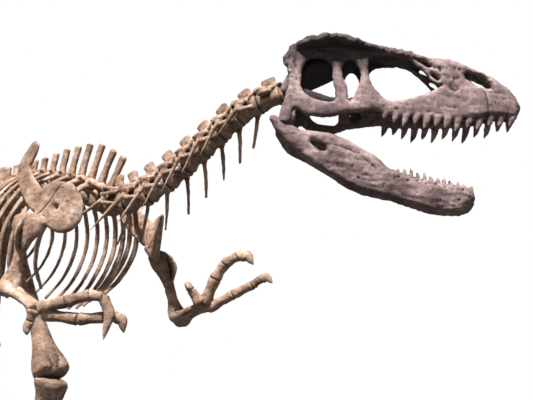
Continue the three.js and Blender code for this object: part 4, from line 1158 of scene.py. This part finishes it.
SIDES = {"left": LEFT, "right": RIGHT}
dress("skull", skull(), 7.5, soften=3, slot="skull_bone", marks=on_head(skull_marks))
for name, side in SIDES.items():
    dress("lower_jaw_" + name, lower_jaw(side), 6.5, slot="skull_bone", marks=on_head(jaw_marks))
neck_marks = line_marks(NECK_LINE, VERTEBRAE["neck"], 118)
for name, bones in (("neck_rear", range(NECK_SPLIT)), ("neck_front", range(NECK_SPLIT, VERTEBRAE["neck"]))):
    dress(name, sum(map(neck_vertebra, bones), []), 7.0, marks=neck_marks)
for name, side in SIDES.items():
    dress("rib_cage_" + name, back_half(side), 8.0)
dress("sacrum", sacrum(), 9.0)
for k, (grain, rough) in enumerate(((8.5, 1), (7.5, 0.9), (6.0, 0.7), (5.0, 0.5))):
    dress(f"tail_{k + 1}", tail_length(*TAIL_LENGTHS[k:k + 2]), grain, 3, rough)
for name, leg in LEGS.items():
    side = leg["side"]
    dress("ilium_" + name, ilium(side), 9.0)
    dress("pubis_" + name, pubis(side), 8.0)
    dress("ischium_" + name, ischium(side), 8.0)
    dress("thigh_" + name, thigh(leg), 8.0, 14)
    dress("shin_" + name, shin(leg), 8.0)
    dress("fibula_" + name, fibula(leg), 7.0)
    dress("instep_" + name, instep(leg), 7.0)
    for number in range(3):
        bones = toe(leg, number)
        dress(f"toe_{number + 2}_{name}", digit(**bones), 5.0, 3, 0.7, marks=digit_marks(bones["joints"]))
    dress("toe_1_" + name, inner_toe(leg), 4.5, 3, 0.6)
for name, arm in ARMS.items():
    dress("shoulder_" + name, shoulder(arm), 6.5, marks=shoulder_marks(arm))
    dress("upper_arm_" + name, upper_arm(arm), 5.5)
    dress("ulna_" + name, forearm(arm, 40, 45, 60), 5.0, 3, 0.8)
    dress("radius_" + name, forearm(arm, -40, 36, 5), 5.0, 3, 0.8)
    for k, finger in enumerate(FINGERS[name]):
        dress(f"finger_{k + 1}_{name}", digit(**finger), 4.2, 3, 0.7, marks=digit_marks(finger["joints"]))

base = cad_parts["stand_base"]
base.data.materials.clear()
base.data.materials.append(stand_finish())

# The view and the studio. The focal length is in pixels of the photograph
CAMERA_PLACE = np.array([8393.0, -3631.0, 2114.0])
CAMERA_TURN, CAMERA_PITCH, CAMERA_ROLL = 48.9, 11.2, 7.0
PHOTO_WIDTH, FOCAL_PIXELS, SENSOR = 533.0, 900.0, 36.0
FLOOR_HALF = 16.0
CHEST, HIPS = (2.4, 0.2, 3.2), (0.0, 0.0, 3.0)


def seen(tree, hidden, shown):
    """The value shown to the camera, and the hidden one to all other rays."""
    node = tree.nodes.new("ShaderNodeMapRange")
    node.inputs["To Min"].default_value, node.inputs["To Max"].default_value = hidden, shown
    tree.links.new(tree.nodes.new("ShaderNodeLightPath").outputs["Is Camera Ray"], node.inputs["Value"])
    return node.outputs["Result"]


def floor():
    """A pale, plain, flat floor. It throws back less light than it shows, so undersides stay dark."""
    points = np.array([[-1, -1, 0], [1, -1, 0], [1, 1, 0], [-1, 1, 0]]) * FLOOR_HALF
    mesh = mesh_of("floor", points, np.array([[0, 1, 2, 3]]), np.zeros((0, 3), int))
    ground = bpy.data.objects.new("floor", mesh)
    bpy.context.collection.objects.link(ground)
    material = bpy.data.materials.new("floor_paint")
    material.use_nodes = True
    shader = material.node_tree.nodes["Principled BSDF"]
    shader.inputs["Roughness"].default_value = 0.9
    material.node_tree.links.new(seen(material.node_tree, 0.12, 0.4), shader.inputs["Base Color"])
    mesh.materials.append(material)


def studio():
    """White surroundings that give only a little light."""
    world = bpy.data.worlds.new("studio")
    bpy.context.scene.world = world
    bpy.context.scene.view_settings.view_transform = "Standard"
    world.use_nodes = True
    background = world.node_tree.nodes["Background"]
    background.inputs["Color"].default_value = (1.0, 1.0, 1.0, 1.0)
    world.node_tree.links.new(seen(world.node_tree, 0.05, 1.0), background.inputs["Strength"])


def light(name, kind, place, target, power, colour, **values):
    """A lamp at a place, turned to a target. Of a sun only the direction counts."""
    lamp = bpy.data.lights.new(name, kind)
    lamp.energy, lamp.color = power, colour
    for key, value in values.items():
        setattr(lamp, key, value)
    lamp_object = bpy.data.objects.new(name, lamp)
    bpy.context.collection.objects.link(lamp_object)
    z = unit(np.asarray(place, float) - np.asarray(target, float))
    x = unit(np.cross(Z, z))
    m = np.eye(4)
    m[:3, :3] = np.stack([x, np.cross(z, x), z], 1)
    m[:3, 3] = place
    lamp_object.matrix_world = Matrix(m.tolist())


def camera():
    """The photograph's view: from the animal's front right and below, leaning a little."""
    az, pitch, roll = np.radians([CAMERA_TURN, CAMERA_PITCH, CAMERA_ROLL])
    right = np.array([np.cos(az), np.sin(az), 0])
    ahead = np.array([-np.sin(az), np.cos(az), 0])
    look = ahead * np.cos(pitch) + Z * np.sin(pitch)
    lift = Z * np.cos(pitch) - ahead * np.sin(pitch)
    m = np.eye(4)
    m[:3, 0] = right * np.cos(roll) + lift * np.sin(roll)
    m[:3, 1] = lift * np.cos(roll) - right * np.sin(roll)
    m[:3, 2] = -look
    m[:3, 3] = (CAMERA_PLACE + SHIFT) / MM
    data = bpy.data.cameras.new("camera")
    data.sensor_width = SENSOR
    data.lens = SENSOR * FOCAL_PIXELS / PHOTO_WIDTH
    data.clip_end = 200.0
    eye = bpy.data.objects.new("camera", data)
    bpy.context.collection.objects.link(eye)
    eye.matrix_world = Matrix(m.tolist())
    bpy.context.scene.camera = eye


floor()
light("key", "SUN", (3.0, -4.3, 11.2), CHEST, 9.2, (1.0, 0.95, 0.90), angle=np.radians(7.0))
light("fill", "AREA", (9.0, -6.0, 6.0), CHEST, 70, (1.0, 0.96, 0.93), size=4.0)
light("back_fill", "AREA", (-6.0, 8.0, 6.5), HIPS, 420, (0.96, 0.98, 1.0), size=6.0)
studio()
camera()
